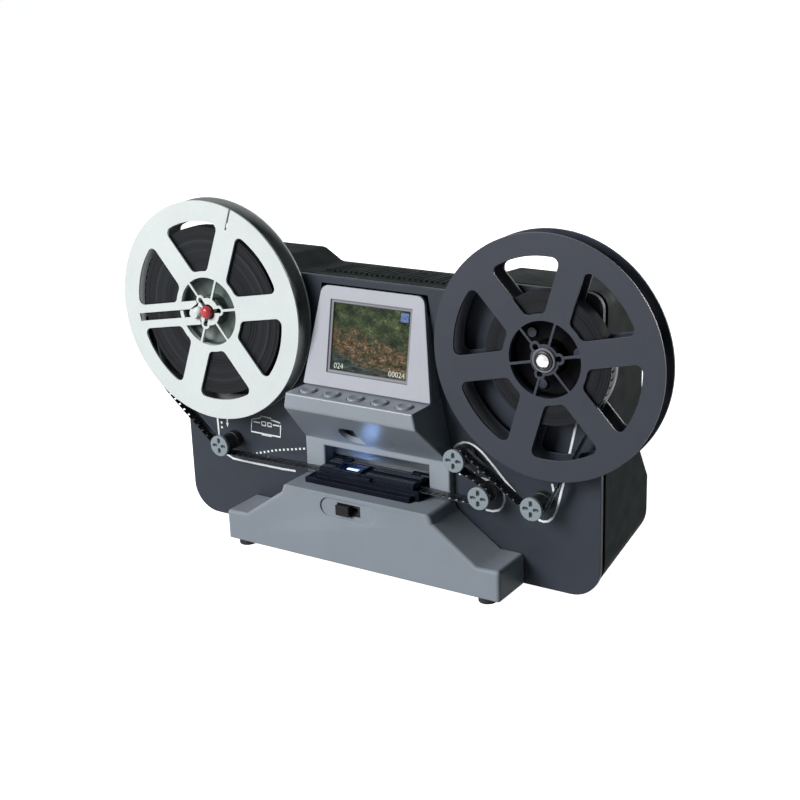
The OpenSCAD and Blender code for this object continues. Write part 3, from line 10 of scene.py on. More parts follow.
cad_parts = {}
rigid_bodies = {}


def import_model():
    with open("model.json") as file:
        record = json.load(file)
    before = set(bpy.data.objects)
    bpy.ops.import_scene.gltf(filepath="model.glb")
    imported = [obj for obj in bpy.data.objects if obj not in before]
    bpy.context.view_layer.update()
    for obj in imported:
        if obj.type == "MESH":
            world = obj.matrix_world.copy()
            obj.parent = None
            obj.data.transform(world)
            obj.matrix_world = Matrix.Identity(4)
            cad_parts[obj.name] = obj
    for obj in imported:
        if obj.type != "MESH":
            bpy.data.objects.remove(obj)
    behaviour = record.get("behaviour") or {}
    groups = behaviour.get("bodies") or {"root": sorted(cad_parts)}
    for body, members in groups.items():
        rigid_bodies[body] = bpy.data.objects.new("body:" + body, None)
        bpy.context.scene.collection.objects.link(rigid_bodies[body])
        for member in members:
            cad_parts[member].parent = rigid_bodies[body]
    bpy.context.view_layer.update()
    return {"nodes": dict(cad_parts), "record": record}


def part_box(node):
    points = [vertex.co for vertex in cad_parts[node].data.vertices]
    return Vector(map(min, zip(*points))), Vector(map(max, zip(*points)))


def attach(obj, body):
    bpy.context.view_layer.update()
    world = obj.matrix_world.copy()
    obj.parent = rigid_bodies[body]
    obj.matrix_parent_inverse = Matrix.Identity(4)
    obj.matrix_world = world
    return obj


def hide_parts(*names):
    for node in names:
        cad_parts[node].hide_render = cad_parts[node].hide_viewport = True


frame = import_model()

bl_info = {
    "name": "Film Scanner",
    "version": (1, 0, 0),
    "blender": (4, 5, 0),
    "location": "View3D > Sidebar > Scanner",
    "description": "Builds a tabletop film scanner with two reels",
    "category": "Object",
}

BODY_OF = {n: body for body, nodes in frame["record"]["behaviour"]["bodies"].items() for n in nodes}
SLOT_OF = {s["node"]: s["material_slot"] for s in frame["record"]["subparts"]}
PANEL_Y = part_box("front_panel")[0].y
ROLLERS = ("entry", "return", "exit", "guide")
MM = 0.001


def colour_prop(name, value):
    return FloatVectorProperty(name=name, description=f"Colour of the {name.lower()}", subtype="COLOR", size=3,
                               min=0, max=1, default=value)


def length_prop(name, description, value):
    return FloatProperty(name=name, description=description, unit="LENGTH", min=0, precision=5, default=value)


class ScannerColours(bpy.types.PropertyGroup):
    """Colours of the scanner's finishes."""
    panel: colour_prop("Front panel", (0.026, 0.032, 0.044))
    housing: colour_prop("Rear housing", (0.018, 0.023, 0.023))
    body: colour_prop("Base and console", (0.232, 0.26, 0.298))
    bezel: colour_prop("Screen bezel", (0.375, 0.385, 0.43))
    white_reel: colour_prop("Supply reel", (0.635, 0.68, 0.675))
    black_reel: colour_prop("Take-up reel", (0.02, 0.024, 0.037))
    gate: colour_prop("Film gate", (0.004, 0.006, 0.013))
    film: colour_prop("Film", (0.01, 0.011, 0.015))
    caps: colour_prop("Roller caps", (0.215, 0.255, 0.285))
    rollers: colour_prop("Rollers", (0.014, 0.018, 0.017))
    tip: colour_prop("Spindle tip", (0.42, 0.012, 0.02))
    print: colour_prop("Panel print", (0.8, 0.82, 0.82))
    lamp: colour_prop("Gate light", (0.28, 0.5, 1.0))


class ScannerSizes(bpy.types.PropertyGroup):
    """Sizes of the scanner's finishing details."""
    large_edge: length_prop("Large edge", "Rounding of the case's edges", 0.0022)
    fold: length_prop("Fold", "Rounding where the column turns into the console's underside", 0.0045)
    edge: length_prop("Edge", "Rounding of ordinary edges", 0.0004)
    fine_edge: length_prop("Fine edge", "Rounding of the smallest pieces' edges", 0.0002)
    perforation_pitch: length_prop("Perforation pitch", "Distance between film perforations", 0.004234)
    film_thickness: length_prop("Film thickness", "Thickness of the film strip", 0.00016)
    turn_pitch: length_prop("Turn pitch", "Distance from one wound turn to the next", 0.00066)
    print_width: length_prop("Print width", "Width of the lines on the panel", 0.00125)
    print_height: length_prop("Print height", "Thickness of the print", 0.00004)
    button_dish: length_prop("Button dish", "Depth of the hollow in a button", 0.0007)


class ScannerStage(bpy.types.PropertyGroup):
    """Light and camera."""
    key: FloatProperty(name="Key lamp", description="Power of the lamp at the front left", unit="POWER",
                       default=98)
    back: FloatProperty(name="Back lamp", description="Power of the lamp behind", unit="POWER", default=26)
    fill: FloatProperty(name="Fill", description="Light from all round", default=0.05)
    lens: FloatProperty(name="Lens", description="Focal length in millimetres", default=65.283)
    floor: colour_prop("Floor", (0.14, 0.16, 0.16))


def node(tree, kind, inputs=None, **settings):
    """Adds a shader node; a socket among the inputs is linked, any other value is set."""
    made = tree.nodes.new("ShaderNode" + kind)
    for key, value in settings.items():
        setattr(made, key, value)
    for key, value in (inputs or {}).items():
        if isinstance(value, bpy.types.NodeSocket):
            tree.links.new(value, made.inputs[key])
        else:
            made.inputs[key].default_value = value
    return made


def noise(tree, where, scale, detail, rough=0.5):
    inputs = {"Vector": where, "Scale": scale, "Detail": detail, "Roughness": rough}
    return node(tree, "TexNoise", inputs).outputs["Fac"]


def calc(tree, operation, *values):
    return node(tree, "Math", dict(enumerate(values)), operation=operation).outputs[0]


def blend(tree, share, under, over, kind="MIX"):
    """Lays one colour over another."""
    return node(tree, "Mix", {0: share, 6: under, 7: over}, data_type="RGBA", blend_type=kind).outputs[2]


def ramp(tree, value, stops):
    made = node(tree, "ValToRGB", {"Fac": value})
    points = made.color_ramp.elements
    for i, (place, colour) in enumerate(stops):
        point = points[i] if i < 2 else points.new(place)
        point.position = place
        point.color = (*colour, 1)
    return made.outputs["Color"]


def shade(colour, factor):
    return tuple(min(1, c * factor) for c in colour)


def blank(name):
    """A new material with its tree, its shader and its object coordinates."""
    made = bpy.data.materials.new(name)
    made.use_nodes = True
    tree = made.node_tree
    return made, tree, tree.nodes["Principled BSDF"], node(tree, "TexCoord").outputs["Object"]


def colour_from(tree, shader, value, stops):
    tree.links.new(ramp(tree, value, stops), shader.inputs["Base Color"])


def roughen(tree, shader, value, low, high):
    """Lets a value vary the roughness between two limits."""
    inputs = {"Value": value, "From Min": 0.3, "From Max": 0.7, "To Min": low, "To Max": high}
    tree.links.new(node(tree, "MapRange", inputs).outputs[0], shader.inputs["Roughness"])


def emboss(tree, shader, height, strength, depth):
    bump = node(tree, "Bump", {"Height": height, "Strength": strength, "Distance": depth})
    tree.links.new(bump.outputs[0], shader.inputs["Normal"])


def moulded(name, colour, rough=0.5, grain=1500.0, depth=0.00004, clouds=0.07, gloss=0.35, wear=0.07):
    """Grained moulded plastic or satin paint: faint clouds of colour, uneven gloss, fine grain."""
    made, tree, shader, where = blank(name)
    cloud = noise(tree, where, 38.0, 4.0, 0.6)
    fleck = noise(tree, where, grain, 3.0, 0.55)
    tint = ramp(tree, cloud, [(0.3, shade(colour, 1 - clouds)), (0.7, shade(colour, 1 + clouds))])
    speck = ramp(tree, fleck, [(0.3, (0.9, 0.9, 0.9)), (0.7, (1, 1, 1))])
    tree.links.new(blend(tree, 0.6, tint, speck, "MULTIPLY"), shader.inputs["Base Color"])
    roughen(tree, shader, noise(tree, where, 117.8, 5.0), rough - wear, rough + wear + 0.01)
    emboss(tree, shader, fleck, 0.5, depth)
    shader.inputs["Specular IOR Level"].default_value = gloss
    return made


def turned(name, colour, rough):
    """Machined metal with fine tool marks round its axis."""
    made, tree, shader, where = blank(name)
    along = node(tree, "Mapping", {"Vector": where, "Scale": (1, 0.08, 1)}).outputs[0]
    marks = noise(tree, along, 900.0, 4.0)
    cloud = noise(tree, where, 120.0, 3.0)
    colour_from(tree, shader, cloud, [(0.3, shade(colour, 0.88)), (0.7, shade(colour, 1.05))])
    roughen(tree, shader, marks, rough - 0.1, rough + 0.12)
    emboss(tree, shader, marks, 0.4, 0.00002)
    shader.inputs["Metallic"].default_value = 1.0
    return made


def wound(name, colour, centre):
    """Edges of wound film: thin rings of unequal tone round the reel's axis."""
    made, tree, shader, where = blank(name)
    to_axis = {"Vector": where, "Location": (-centre[0], 0, -centre[1]), "Scale": (1, 0, 1)}
    local = node(tree, "Mapping", to_axis).outputs[0]
    radius = node(tree, "VectorMath", {0: local}, operation="LENGTH").outputs["Value"]
    rings, bands = (
        node(tree, "TexNoise", {"W": radius, "Scale": scale, "Detail": detail, "Roughness": rough},
             noise_dimensions="1D").outputs["Fac"]
        for scale, detail, rough in ((1400.0, 4.0, 0.7), (190.0, 1.0, 0.5)))
    tones = [(0.14, shade(colour, 0.25)), (0.32, shade(colour, 0.8)), (0.48, shade(colour, 3.2))]
    colour_from(tree, shader, calc(tree, "MULTIPLY", rings, bands), tones)
    shader.inputs["Specular IOR Level"].default_value = 0.12
    roughen(tree, shader, rings, 0.34, 0.52)
    emboss(tree, shader, rings, 0.6, 0.0001)
    return made


def film_base(name, colour):
    """Film read along its own map: dark pictures between paler bars, and a margin on each side."""
    made, tree, shader, where = blank(name)
    place = node(tree, "UVMap").outputs[0]
    split = node(tree, "SeparateXYZ", {0: place})
    along, across = split.outputs["X"], split.outputs["Y"]
    tone = node(tree, "TexWhiteNoise", {"W": calc(tree, "FLOOR", along)}, noise_dimensions="1D")
    dark = calc(tree, "MULTIPLY", tone.outputs["Value"], noise(tree, place, 4.0, 4.0))
    film = ramp(tree, dark, [(0.0, shade(colour, 0.5)), (0.6, shade(colour, 1.8))])
    bar = calc(tree, "LESS_THAN", calc(tree, "FRACT", along), 0.12)
    film = blend(tree, bar, film, (0.05, 0.05, 0.055, 1))
    film = blend(tree, calc(tree, "LESS_THAN", across, 0.22), film, (0.045, 0.05, 0.06, 1))
    film = blend(tree, calc(tree, "GREATER_THAN", across, 0.83), film, (0.12, 0.13, 0.14, 1))
    tree.links.new(film, shader.inputs["Base Color"])
    roughen(tree, shader, noise(tree, where, 160.0, 3.0), 0.22, 0.4)
    shader.inputs["Specular IOR Level"].default_value = 0.14
    return made


def printed(name, colour):
    """Screen-printed ink, a little uneven; the same white also fills some of the film's perforations as
    painted light.
    """
    made, tree, shader, where = blank(name)
    worn = noise(tree, where, 1400.0, 3.0)
    colour_from(tree, shader, worn, [(0.3, shade(colour, 0.8)), (0.6, colour)])
    roughen(tree, shader, worn, 0.5, 0.7)
    return made


def lit(name, colour, strength):
    """Glowing plate, a little cloudy: frosted plates and displays lit from behind, and the painted highlights
    and painted glow in the gate.
    """
    made, tree, shader, where = blank(name)
    cloud = noise(tree, where, 260.0, 2.0)
    glow = ramp(tree, cloud, [(0.3, shade(colour, 0.75)), (0.7, colour)])
    for socket in ("Emission Color", "Base Color"):
        tree.links.new(glow, shader.inputs[socket])
    roughen(tree, shader, cloud, 0.4, 0.6)
    shader.inputs["Emission Strength"].default_value = strength
    return made


def clear(name):
    """Thin clear window with a trace of dust in its gloss."""
    made, tree, shader, where = blank(name)
    roughen(tree, shader, noise(tree, where, 600.0, 4.0), 0.0, 0.02)
    shader.inputs["Base Color"].default_value = (0.94, 0.96, 0.97, 1)
    shader.inputs["Transmission Weight"].default_value = 1.0
    shader.inputs["IOR"].default_value = 1.1
    return made


def landscape(name):
    """Lit display: woods above a rocky bank and a pool, made of noise in the picture's own map."""
    made, tree, shader, _ = blank(name)
    place = node(tree, "UVMap").outputs[0]
    split = node(tree, "SeparateXYZ", {0: place})
    wobble = noise(tree, place, 5.0, 5.0)
    canopy = calc(tree, "MULTIPLY", noise(tree, place, 34.0, 8.0, 0.8), noise(tree, place, 7.0, 4.0, 0.6))
    woods = ramp(tree, canopy, [(0.14, (0.004, 0.008, 0.004)), (0.25, (0.03, 0.045, 0.016)),
                                (0.34, (0.09, 0.115, 0.045)), (0.46, (0.3, 0.33, 0.17))])
    rocky = calc(tree, "MULTIPLY", noise(tree, place, 13.0, 6.0, 0.7), noise(tree, place, 34.0, 8.0, 0.7))
    bank = ramp(tree, rocky, [(0.15, (0.008, 0.01, 0.005)), (0.24, (0.06, 0.055, 0.022)),
                              (0.31, (0.2, 0.11, 0.055)), (0.4, (0.45, 0.28, 0.17))])
    flat = node(tree, "Mapping", {"Vector": place, "Scale": (4, 24, 1)}).outputs[0]
    pool = ramp(tree, noise(tree, flat, 2.0, 5.0), [(0.35, (0.01, 0.016, 0.014)), (0.55, (0.04, 0.055, 0.045)),
                                                    (0.72, (0.12, 0.16, 0.15))])

    def above(slope, low, push):
        line = calc(tree, "MULTIPLY_ADD", split.outputs["X"], slope, low)
        edge = calc(tree, "MULTIPLY_ADD", wobble, push, line)
        over = calc(tree, "SUBTRACT", split.outputs["Y"], edge)
        return node(tree, "MapRange", {"Value": over, "From Min": -0.07, "From Max": 0.07}).outputs[0]

    lower = blend(tree, above(-0.3, 0.0, 0.55), pool, bank)
    whole = blend(tree, above(-0.16, 0.2, 0.8), lower, woods)
    tree.links.new(whole, shader.inputs["Emission Color"])
    shader.inputs["Emission Strength"].default_value = 1.0
    shader.inputs["Base Color"].default_value = (0.01, 0.01, 0.012, 1)
    shader.inputs["Roughness"].default_value = 0.3
    shader.inputs["Specular IOR Level"].default_value = 0.0
    return made


MADE = {}
PLAIN = (1500.0, 0.00004, 0.07)


def finish(key):
    """The finish for one of the scanner's materials, made once."""
    if key in MADE:
        return MADE[key]
    c = bpy.context.scene.scanner_colours
    # What moulded() takes, in its order: name, colour, roughness, and the rest where it isn't the usual.
    plastics = {
        "panel_black": ("Panel satin black", c.panel, 0.5, 1900.0, 0.00003, 0.05, 0.18),
        "housing_black": ("Housing grained black", c.housing, 0.66, 1300.0, 0.00006, 0.05, 0.03),
        "body_grey": ("Satin grey paint", c.body, 0.42, 2300.0, 0.00002, 0.04, 0.1),
        "console_paint": ("Console paint", c.body, 0.33, 2300.0, 0.000002, 0.04, 0.5, 0.008),
        # Painted shade: the dark green-grey of the cup inside the supply reel's hub.
        "supply_hub_painted_shade": ("Hub liner", (0.055, 0.078, 0.07), 0.5),
        "collar_grey": ("Collar grey", (0.16, 0.17, 0.19), 0.35),
        "gate_frame": ("Gate frame", (0.003, 0.006, 0.018), 0.3, *PLAIN, 0.2),
        # Painted highlight: the bars are real ribs, coloured lighter than the gate's black for the highlights
        # along them.
        "gate_bar": ("Gate bars", (0.022, 0.026, 0.04), 0.3, *PLAIN, 0.15),
        # Painted shade: a darker copy of the supply reel's white for its rear flange.
        "rim_painted_shade": ("Reel rim", shade(c.white_reel, 0.24), 0.45, *PLAIN, 0.15),
        "step_grey": ("Screen step", shade(c.bezel, 0.45), 0.45),
        # Painted shade: the near-black of the cup inside the take-up reel's hub, darker than the reel.
        "hub_black": ("Hub black", (0.002, 0.002, 0.003), 0.55, *PLAIN, 0.03),
        "plate_grey": ("Label plate", (0.12, 0.125, 0.13), 0.5),
        "bezel_grey": ("Pale bezel paint", c.bezel, 0.42, 2300.0, 0.00002, 0.03, 0.25),
        "display": ("Display frame", (0.015, 0.015, 0.018), 0.4),
        "circuit_board": ("Solder mask", (0.02, 0.11, 0.05), 0.35, 900.0, 0.00002, 0.2),
        "inner_black": ("Moulded black", (0.024, 0.024, 0.026), 0.55),
        "switch_black": ("Switch black", (0.007, 0.007, 0.009), 0.42, *PLAIN, 0.15),
        "gate_black": ("Gate black", c.gate, 0.3, 1700.0, 0.00002, 0.1, 0.07),
        "lens_black": ("Lens barrel", (0.01, 0.01, 0.012), 0.3),
        # Painted shade: a darker copy of the film colour for the packs' sides.
        "film_side_painted_shade": ("Outer turn of film", shade(c.film, 0.55), 0.7, *PLAIN, 0.03),
        "reel_white": ("Reel off-white", c.white_reel, 0.42, 1100.0, 0.00002, 0.03, 0.25),
        "reel_black": ("Reel slate", c.black_reel, 0.38, 1100.0, 0.00002, 0.06, 0.3),
        "spindle_black": ("Spindle black", (0.012, 0.012, 0.013), 0.4),
        "tip_red": ("Tip red", c.tip, 0.3, 1100.0, 0.00002, 0.1, 0.5),
        "pulley_white": ("Pulley white", (0.6, 0.6, 0.56), 0.45),
        "belt_rubber": ("Belt rubber", (0.011, 0.011, 0.011), 0.75, 1200.0, 0.00006),
        "button_grey": ("Button grey", shade(c.body, 0.9), 0.36, 1900.0, 0.00002, 0.05),
        # The rollers' own black, also used as painted shade in the cap holes and the screw crosses.
        "roller_black": ("Roller black", c.rollers, 0.4),
        "cap_grey": ("Cap grey", c.caps, 0.42, 1500.0, 0.00003, 0.06),
        "foot_rubber": ("Foot rubber", (0.011, 0.011, 0.011), 0.8, 1200.0, 0.00006),
    }
    others = {
        # Painted light: the gleam and the rim glow are plates that glow though they are no lamp.
        "gleam": (lit, "Gate gleam", (0.6, 0.75, 1.0), 1.1),
        "lit_frame": (lit, "Lit frame", c.lamp, 16.0),
        "rim_glow": (lit, "Rim glow", c.lamp, 46.0),
        "diffuser_white": (lit, "Lit diffuser", c.lamp, 9.0),
        "digits": (lit, "Display digits", (0.3, 0.34, 0.28), 0.9),
        "mark": (lit, "Display mark", (0.005, 0.035, 0.12), 0.8),
        "screen_glass": (clear, "Display window"),
        "picture": (landscape, "Display picture"),
        "steel": (turned, "Turned steel", (0.36, 0.36, 0.37), 0.38),
        "bush_brass": (turned, "Turned brass", (0.6, 0.44, 0.17), 0.28),
        "tip_silver": (turned, "Tip silver", (0.8, 0.8, 0.82), 0.22),
        "film_dark": (film_base, "Film base", c.film),
        "supply_turns": (wound, "Supply film edges", c.film, axis_of("supply_film_pack")),
        "take_up_turns": (wound, "Take-up film edges", c.film, axis_of("take_up_film_pack")),
        "print_white": (printed, "Panel print", c.print),
    }
    maker, *values = (moulded, *plastics[key]) if key in plastics else others[key]
    MADE[key] = maker(*values)
    return MADE[key]


def axis_of(node_name):
    low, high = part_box(node_name)
    return (low.x + high.x) / 2, (low.z + high.z) / 2


def points_of(node_name):
    return [v.co for v in frame["nodes"][node_name].data.vertices]


def mesh_from(name, bm):
    mesh = bpy.data.meshes.new(name)
    bm.to_mesh(mesh)
    bm.free()
    return mesh


def put(name, data):
    """A new object in the scene."""
    made = bpy.data.objects.new(name, data)
    bpy.context.scene.collection.objects.link(made)
    return made


def piece(name, bm, body, slot, *materials, replaces=(), smooth=None):
    """Turns a bmesh into a finished piece that rides on a body."""
    mesh = mesh_from(name, bm)
    for material in materials or (finish(slot),):
        mesh.materials.append(material)
    made = put(name, mesh)
    if smooth is not None:
        mesh.shade_smooth()
        mesh.set_sharp_from_angle(angle=math.radians(smooth))
    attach(made, body)
    if replaces:
        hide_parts(*replaces)
    return made


def solid_copy(node_name):
    """The node's solid as a welded mesh with its flat faces whole."""
    bm = bmesh.new()
    bm.from_mesh(frame["nodes"][node_name].data)
    bmesh.ops.remove_doubles(bm, verts=bm.verts, dist=2e-6)
    bmesh.ops.dissolve_limit(bm, angle_limit=math.radians(0.3), verts=bm.verts, edges=bm.edges)
    return bm


def outlines(bm):
    """For each face the bent edges round the flat it belongs to."""
    bent = 0.02
    found, left = {}, set(bm.faces)
    while left:
        open_faces, flat = [left.pop()], []
        while open_faces:
            face = open_faces.pop()
            flat.append(face)
            for edge in face.edges:
                if edge.calc_face_angle(0.0) < bent:
                    near = [f for f in edge.link_faces if f in left]
                    left.difference_update(near)
                    open_faces += near
        rim = [e for e in {e for f in flat for e in f.edges} if e.calc_face_angle(1.0) >= bent]
        found.update((face, rim) for face in flat)
    return found


def share_width(bm, width, angle, wide):
    """Gives each sharp edge its share of the largest rounding: less on narrow flats, more where wide asks."""
    layer = bm.edges.layers.float.new("bevel_weight_edge")
    rims = outlines(bm)
    inner_share, room_share, straight_on = 0.25, 0.42, 2.2
    most = max([width] + [w for w, _ in wide])
    for edge in bm.edges:
        if len(edge.link_faces) != 2 or edge.calc_face_angle(0.0) < math.radians(angle):
            continue
        a, b = (v.co for v in edge.verts)
        usual = width if edge.is_convex else width * inner_share
        want = next((w for w, test in wide if test((a + b) / 2, b - a)), usual)
        for face in edge.link_faces:
            for other in rims[face]:
                if set(other.verts) & set(edge.verts):
                    continue
                c, d = (v.co for v in other.verts)
                for share in (0.15, 0.5, 0.85):
                    spot = a.lerp(b, share)
                    along = min(max((spot - c).dot(d - c) / max((d - c).length_squared, 1e-12), 0), 1)
                    want = min(want, room_share * (spot - c.lerp(d, along)).length)
        edge[layer] = want / most
    uneven = True
    while uneven:
        uneven = False
        for vert in bm.verts:
            marked = [e for e in vert.link_edges if e[layer] > 0]
            for i, one in enumerate(marked):
                for two in marked[:i]:
                    bend = (one.other_vert(vert).co - vert.co).angle(two.other_vert(vert).co - vert.co, 0)
                    if bend > straight_on and abs(one[layer] - two[layer]) > 1e-6:
                        one[layer] = two[layer] = min(one[layer], two[layer])
                        uneven = True
    return most


def round_edges(made, width, segments=2, angle=35, shared=False):
    bevel = made.modifiers.new("Rounded edges", "BEVEL")
    bevel.width = width
    bevel.segments = segments
    bevel.profile = 0.5
    bevel.limit_method = "WEIGHT" if shared else "ANGLE"
    bevel.angle_limit = math.radians(angle)
    bevel.use_clamp_overlap = False
    bevel.harden_normals = True


def dress(node_name, width, segments=2, angle=35, key=None, spots=(), wide=None):
    """A node's solid with rounded edges and its finish; spots give another finish to the faces they pick.

    With wide, a list of (width, test) pairs, each edge gets the rounding there is room for.
    """
    bm = solid_copy(node_name)
    if wide is not None:
        width = share_width(bm, width, angle, wide)
    slot = SLOT_OF[node_name]
    finishes = [finish(key or slot)]
    for spot_key, test in spots:
        finishes.append(finish(spot_key))
        for face in bm.faces:
            if test(face.calc_center_median(), face.normal):
                face.material_index = len(finishes) - 1
    made = piece(node_name + "_form", bm, BODY_OF[node_name], slot, *finishes, replaces=(node_name,),
                 smooth=angle)
    if width:
        round_edges(made, width, segments, angle, wide is not None)


def turned_shape(profile, centre, axis, steps=64):
    """A closed turned form from (radius, height) points round an axis through centre."""
    bm = bmesh.new()
    along, out = Vector(axis), Vector((1, 0, 0))
    verts = [bm.verts.new(Vector(centre) + out * r + along * h) for r, h in profile]
    edges = [bm.edges.new(pair) for pair in zip(verts, verts[1:])]
    bmesh.ops.spin(bm, geom=verts + edges, cent=centre, axis=along, angle=math.tau, steps=steps,
                   use_merge=True)
    bmesh.ops.remove_doubles(bm, verts=bm.verts, dist=1e-6)
    bmesh.ops.recalc_face_normals(bm, faces=bm.faces)
    return bm


def sheet_over(columns, u_scale=1.0):
    """A strip of faces whose points lie at columns[along][across], with its own map."""
    bm = bmesh.new()
    layer = bm.loops.layers.uv.new("UVMap")
    count, across = len(columns), len(columns[0])
    grid = bmesh.ops.create_grid(bm, x_segments=count - 1, y_segments=across - 1, size=1, calc_uvs=True)
    for k, vert in enumerate(grid["verts"]):
        vert.co = columns[k % count][k // count]
    for face in bm.faces:
        for loop in face.loops:
            loop[layer].uv.x *= u_scale
    return bm


def blocks(name, body, slot, corners, key=None, width=0):
    """A piece made of blocks between pairs of corners, rounded where a width is given."""
    bm = bmesh.new()
    for low, high in corners:
        size, middle = Vector(high) - Vector(low), (Vector(high) + Vector(low)) / 2
        bmesh.ops.create_cube(bm, size=1, matrix=Matrix.Translation(middle) @ Matrix.Diagonal((*size, 1)))
    made = piece(name, bm, body, slot, finish(key or slot))
    if width:
        round_edges(made, width)


def join(target, source):
    """Moves one bmesh's shape into another."""
    mesh = mesh_from("carried", source)
    target.from_mesh(mesh)
    bpy.data.meshes.remove(mesh)


def lettering(body, size, side):
    """Flat plain numbers as a bmesh in the x, y plane."""
    curve = bpy.data.curves.new("numbers", "FONT")
    curve.body, curve.size, curve.align_x = body, size, side
    holder = bpy.data.objects.new("numbers", curve)
    flat = bpy.data.meshes.new_from_object(holder)
    bm = bmesh.new()
    bm.from_mesh(flat)
    for data, block in ((bpy.data.objects, holder), (bpy.data.curves, curve), (bpy.data.meshes, flat)):
        data.remove(block)
    return bm


def panel_line(points, width, lift):
    """A flat strip on the panel's face along (x, z) points in millimetres."""
    line = [Vector((x * MM, PANEL_Y - lift, z * MM)) for x, z in points]
    columns = []
    for i, at in enumerate(line):
        ahead = (line[min(i + 1, len(line) - 1)] - line[max(i - 1, 0)]).normalized()
        side = Vector((-ahead.z, 0, ahead.x)) * width / 2
        columns.append([at - side, at + side])
    return sheet_over(columns)


def dashes(points, pitch, share):
    """Cuts a line of (x, z) points into dashes."""
    fine = 0.1
    walked, out, here, steps = 0.0, [], [], []
    for a, b in zip(points, points[1:]):
        n = max(1, round(math.dist(a, b) / fine))
        steps += [(a[0] + (b[0] - a[0]) * i / n, a[1] + (b[1] - a[1]) * i / n) for i in range(n)]
    for a, b in zip(steps, steps[1:]):
        if walked % pitch < pitch * share:
            here.append(a)
        else:
            if len(here) > 1:
                out.append([here[0], here[-1]])
            here = []
        walked += math.dist(a, b)
    return out


def film_route():
    """Points (x, z) of the film from pack to pack, a quarter of a perforation apart."""
    bed, core = 0.04955, 0.0054
    supply_pack, take_up_pack = 0.0494, 0.0349
    loop, loop_radius = Vector((-0.11735, 0.1096)), 0.04
    gate_ends = (-0.0371, 0.0307)
    stops = [(Vector(axis_of("supply_reel_rear")), supply_pack, 1), (loop, loop_radius, 1)]
    stops.append((Vector(axis_of("entry_roller")), core, 1))
    stops += [(Vector((x, bed)), 0.0, 1) for x in gate_ends]
    for name, sense in (("exit", 1), ("return", -1), ("guide", 1)):
        stops.append((Vector(axis_of(f"{name}_roller")), core, sense))
    stops.append((Vector(axis_of("take_up_reel_rear")), take_up_pack, 1))
    heads = []
    for (a, ra, sa), (b, rb, sb) in zip(stops, stops[1:]):
        way = b - a
        heads.append(math.atan2(way.y, way.x) - math.asin((sb * rb - sa * ra) / way.length))
    lap, arc_step = 0.5, 0.0003
    heads = [heads[0] - lap] + heads + [heads[-1] + lap]
    corners = []
    for (centre, radius, sense), h_in, h_out in zip(stops, heads, heads[1:]):
        sweep = (h_out - h_in) % math.tau if sense > 0 else -((h_in - h_out) % math.tau)
        if radius == 0:
            corners.append(centre)
            continue
        count = max(2, int(abs(sweep) * radius / arc_step))
        for i in range(count + 1):
            h = h_in + sweep * i / count
            corners.append(centre - sense * radius * Vector((-math.sin(h), math.cos(h))))
    step = bpy.context.scene.scanner_sizes.perforation_pitch / 4
    points, left = [corners[0]], step
    for a, b in zip(corners, corners[1:]):
        length = (b - a).length
        while length >= left > 0:
            a = a + (b - a) * (left / length)
            points.append(a.copy())
            length = (b - a).length
            left = step
        left -= length
    return points


class ScannerOperator(bpy.types.Operator):
    """Base of the scanner's steps."""
    bl_options = {"REGISTER", "UNDO"}

    def execute(self, context):
        self.make(context.scene.scanner_sizes)
        return {"FINISHED"}


class SCANNER_OT_case(ScannerOperator):
    """Front panel, rear housing, grille, base, feet and screws"""
    bl_idname = "scanner.case"
    bl_label = "Case"

    def make(self, sizes):
        dress("front_panel", sizes.edge)
        dress("rear_housing", sizes.large_edge, 3, wide=[])
        dress("top_grille", sizes.fine_edge)
        dress("base_shell", sizes.large_edge, 4, wide=[])
        dress("base_plate", sizes.fine_edge)
        dress("feet", sizes.edge)
        for name in ("housing_screws", "base_screws"):
            dress(name, sizes.fine_edge)


class SCANNER_OT_console(ScannerOperator):
    """Column, ledge and recess over the gate"""
    bl_idname = "scanner.console"
    bl_label = "Console"

    def make(self, sizes):
        fold_low, fold_high = 0.0635, 0.068

        def folded(middle, way):
            level = abs(way.x) > 0.9 * way.length
            return level and fold_low < middle.z < fold_high and middle.y < PANEL_Y

        def hidden(middle, way):
            return middle.y > PANEL_Y - 0.0001

        dress("console_body", sizes.edge * 3, 4, 20, "console_paint", wide=[(0, hidden), (sizes.fold, folded)])
        self.fill_port()
        self.bezel_seat()

    def fill_port(self):
        """Closes the right part of the lens port flush with the leaning underside; lengths in millimetres."""
        x, half, reach = -3.2, 10.9, 5.9
        ahead, lean, sunk, deep = 12.5, 61.5, 0.05, 3
        left, right = x - half * 0.42, x + half
        end = [math.radians(-80 + 10 * i) for i in range(17)]
        outline = [(left, -reach), (right, -reach)]
        outline += [(right + reach * math.cos(t), reach * math.sin(t)) for t in end]
        outline += [(right, reach), (left, reach)]
        bm = bmesh.new()
        rows = []
        for up in (sunk, deep):
            rows.append([bm.verts.new((u * MM, PANEL_Y - (ahead + v) * MM, (lean + ahead + v + up) * MM))
                         for u, v in outline])
        bm.faces.new(rows[0])
        bm.faces.new(rows[1][::-1])
        for i in range(len(outline)):
            bm.faces.new((rows[0][i - 1], rows[0][i], rows[1][i], rows[1][i - 1]))
        bmesh.ops.recalc_face_normals(bm, faces=bm.faces)
        piece("port_fill", bm, "chassis", "body_grey", finish("console_paint"), smooth=30)

    def bezel_seat(self):
        """The strip of console that shows under the bezel."""
        low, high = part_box("screen_bezel")
        foot = min(points_of("screen_bezel"), key=lambda v: v.z)
        inset, lap, under, deep = 0.0012, 0.0004, 0.0007, 0.003
        strip = ((low.x + inset, foot.y + lap, foot.z - under), (high.x - inset, foot.y + deep, foot.z + lap))
        blocks("bezel_seat", "chassis", "body_grey", [strip], "console_paint")


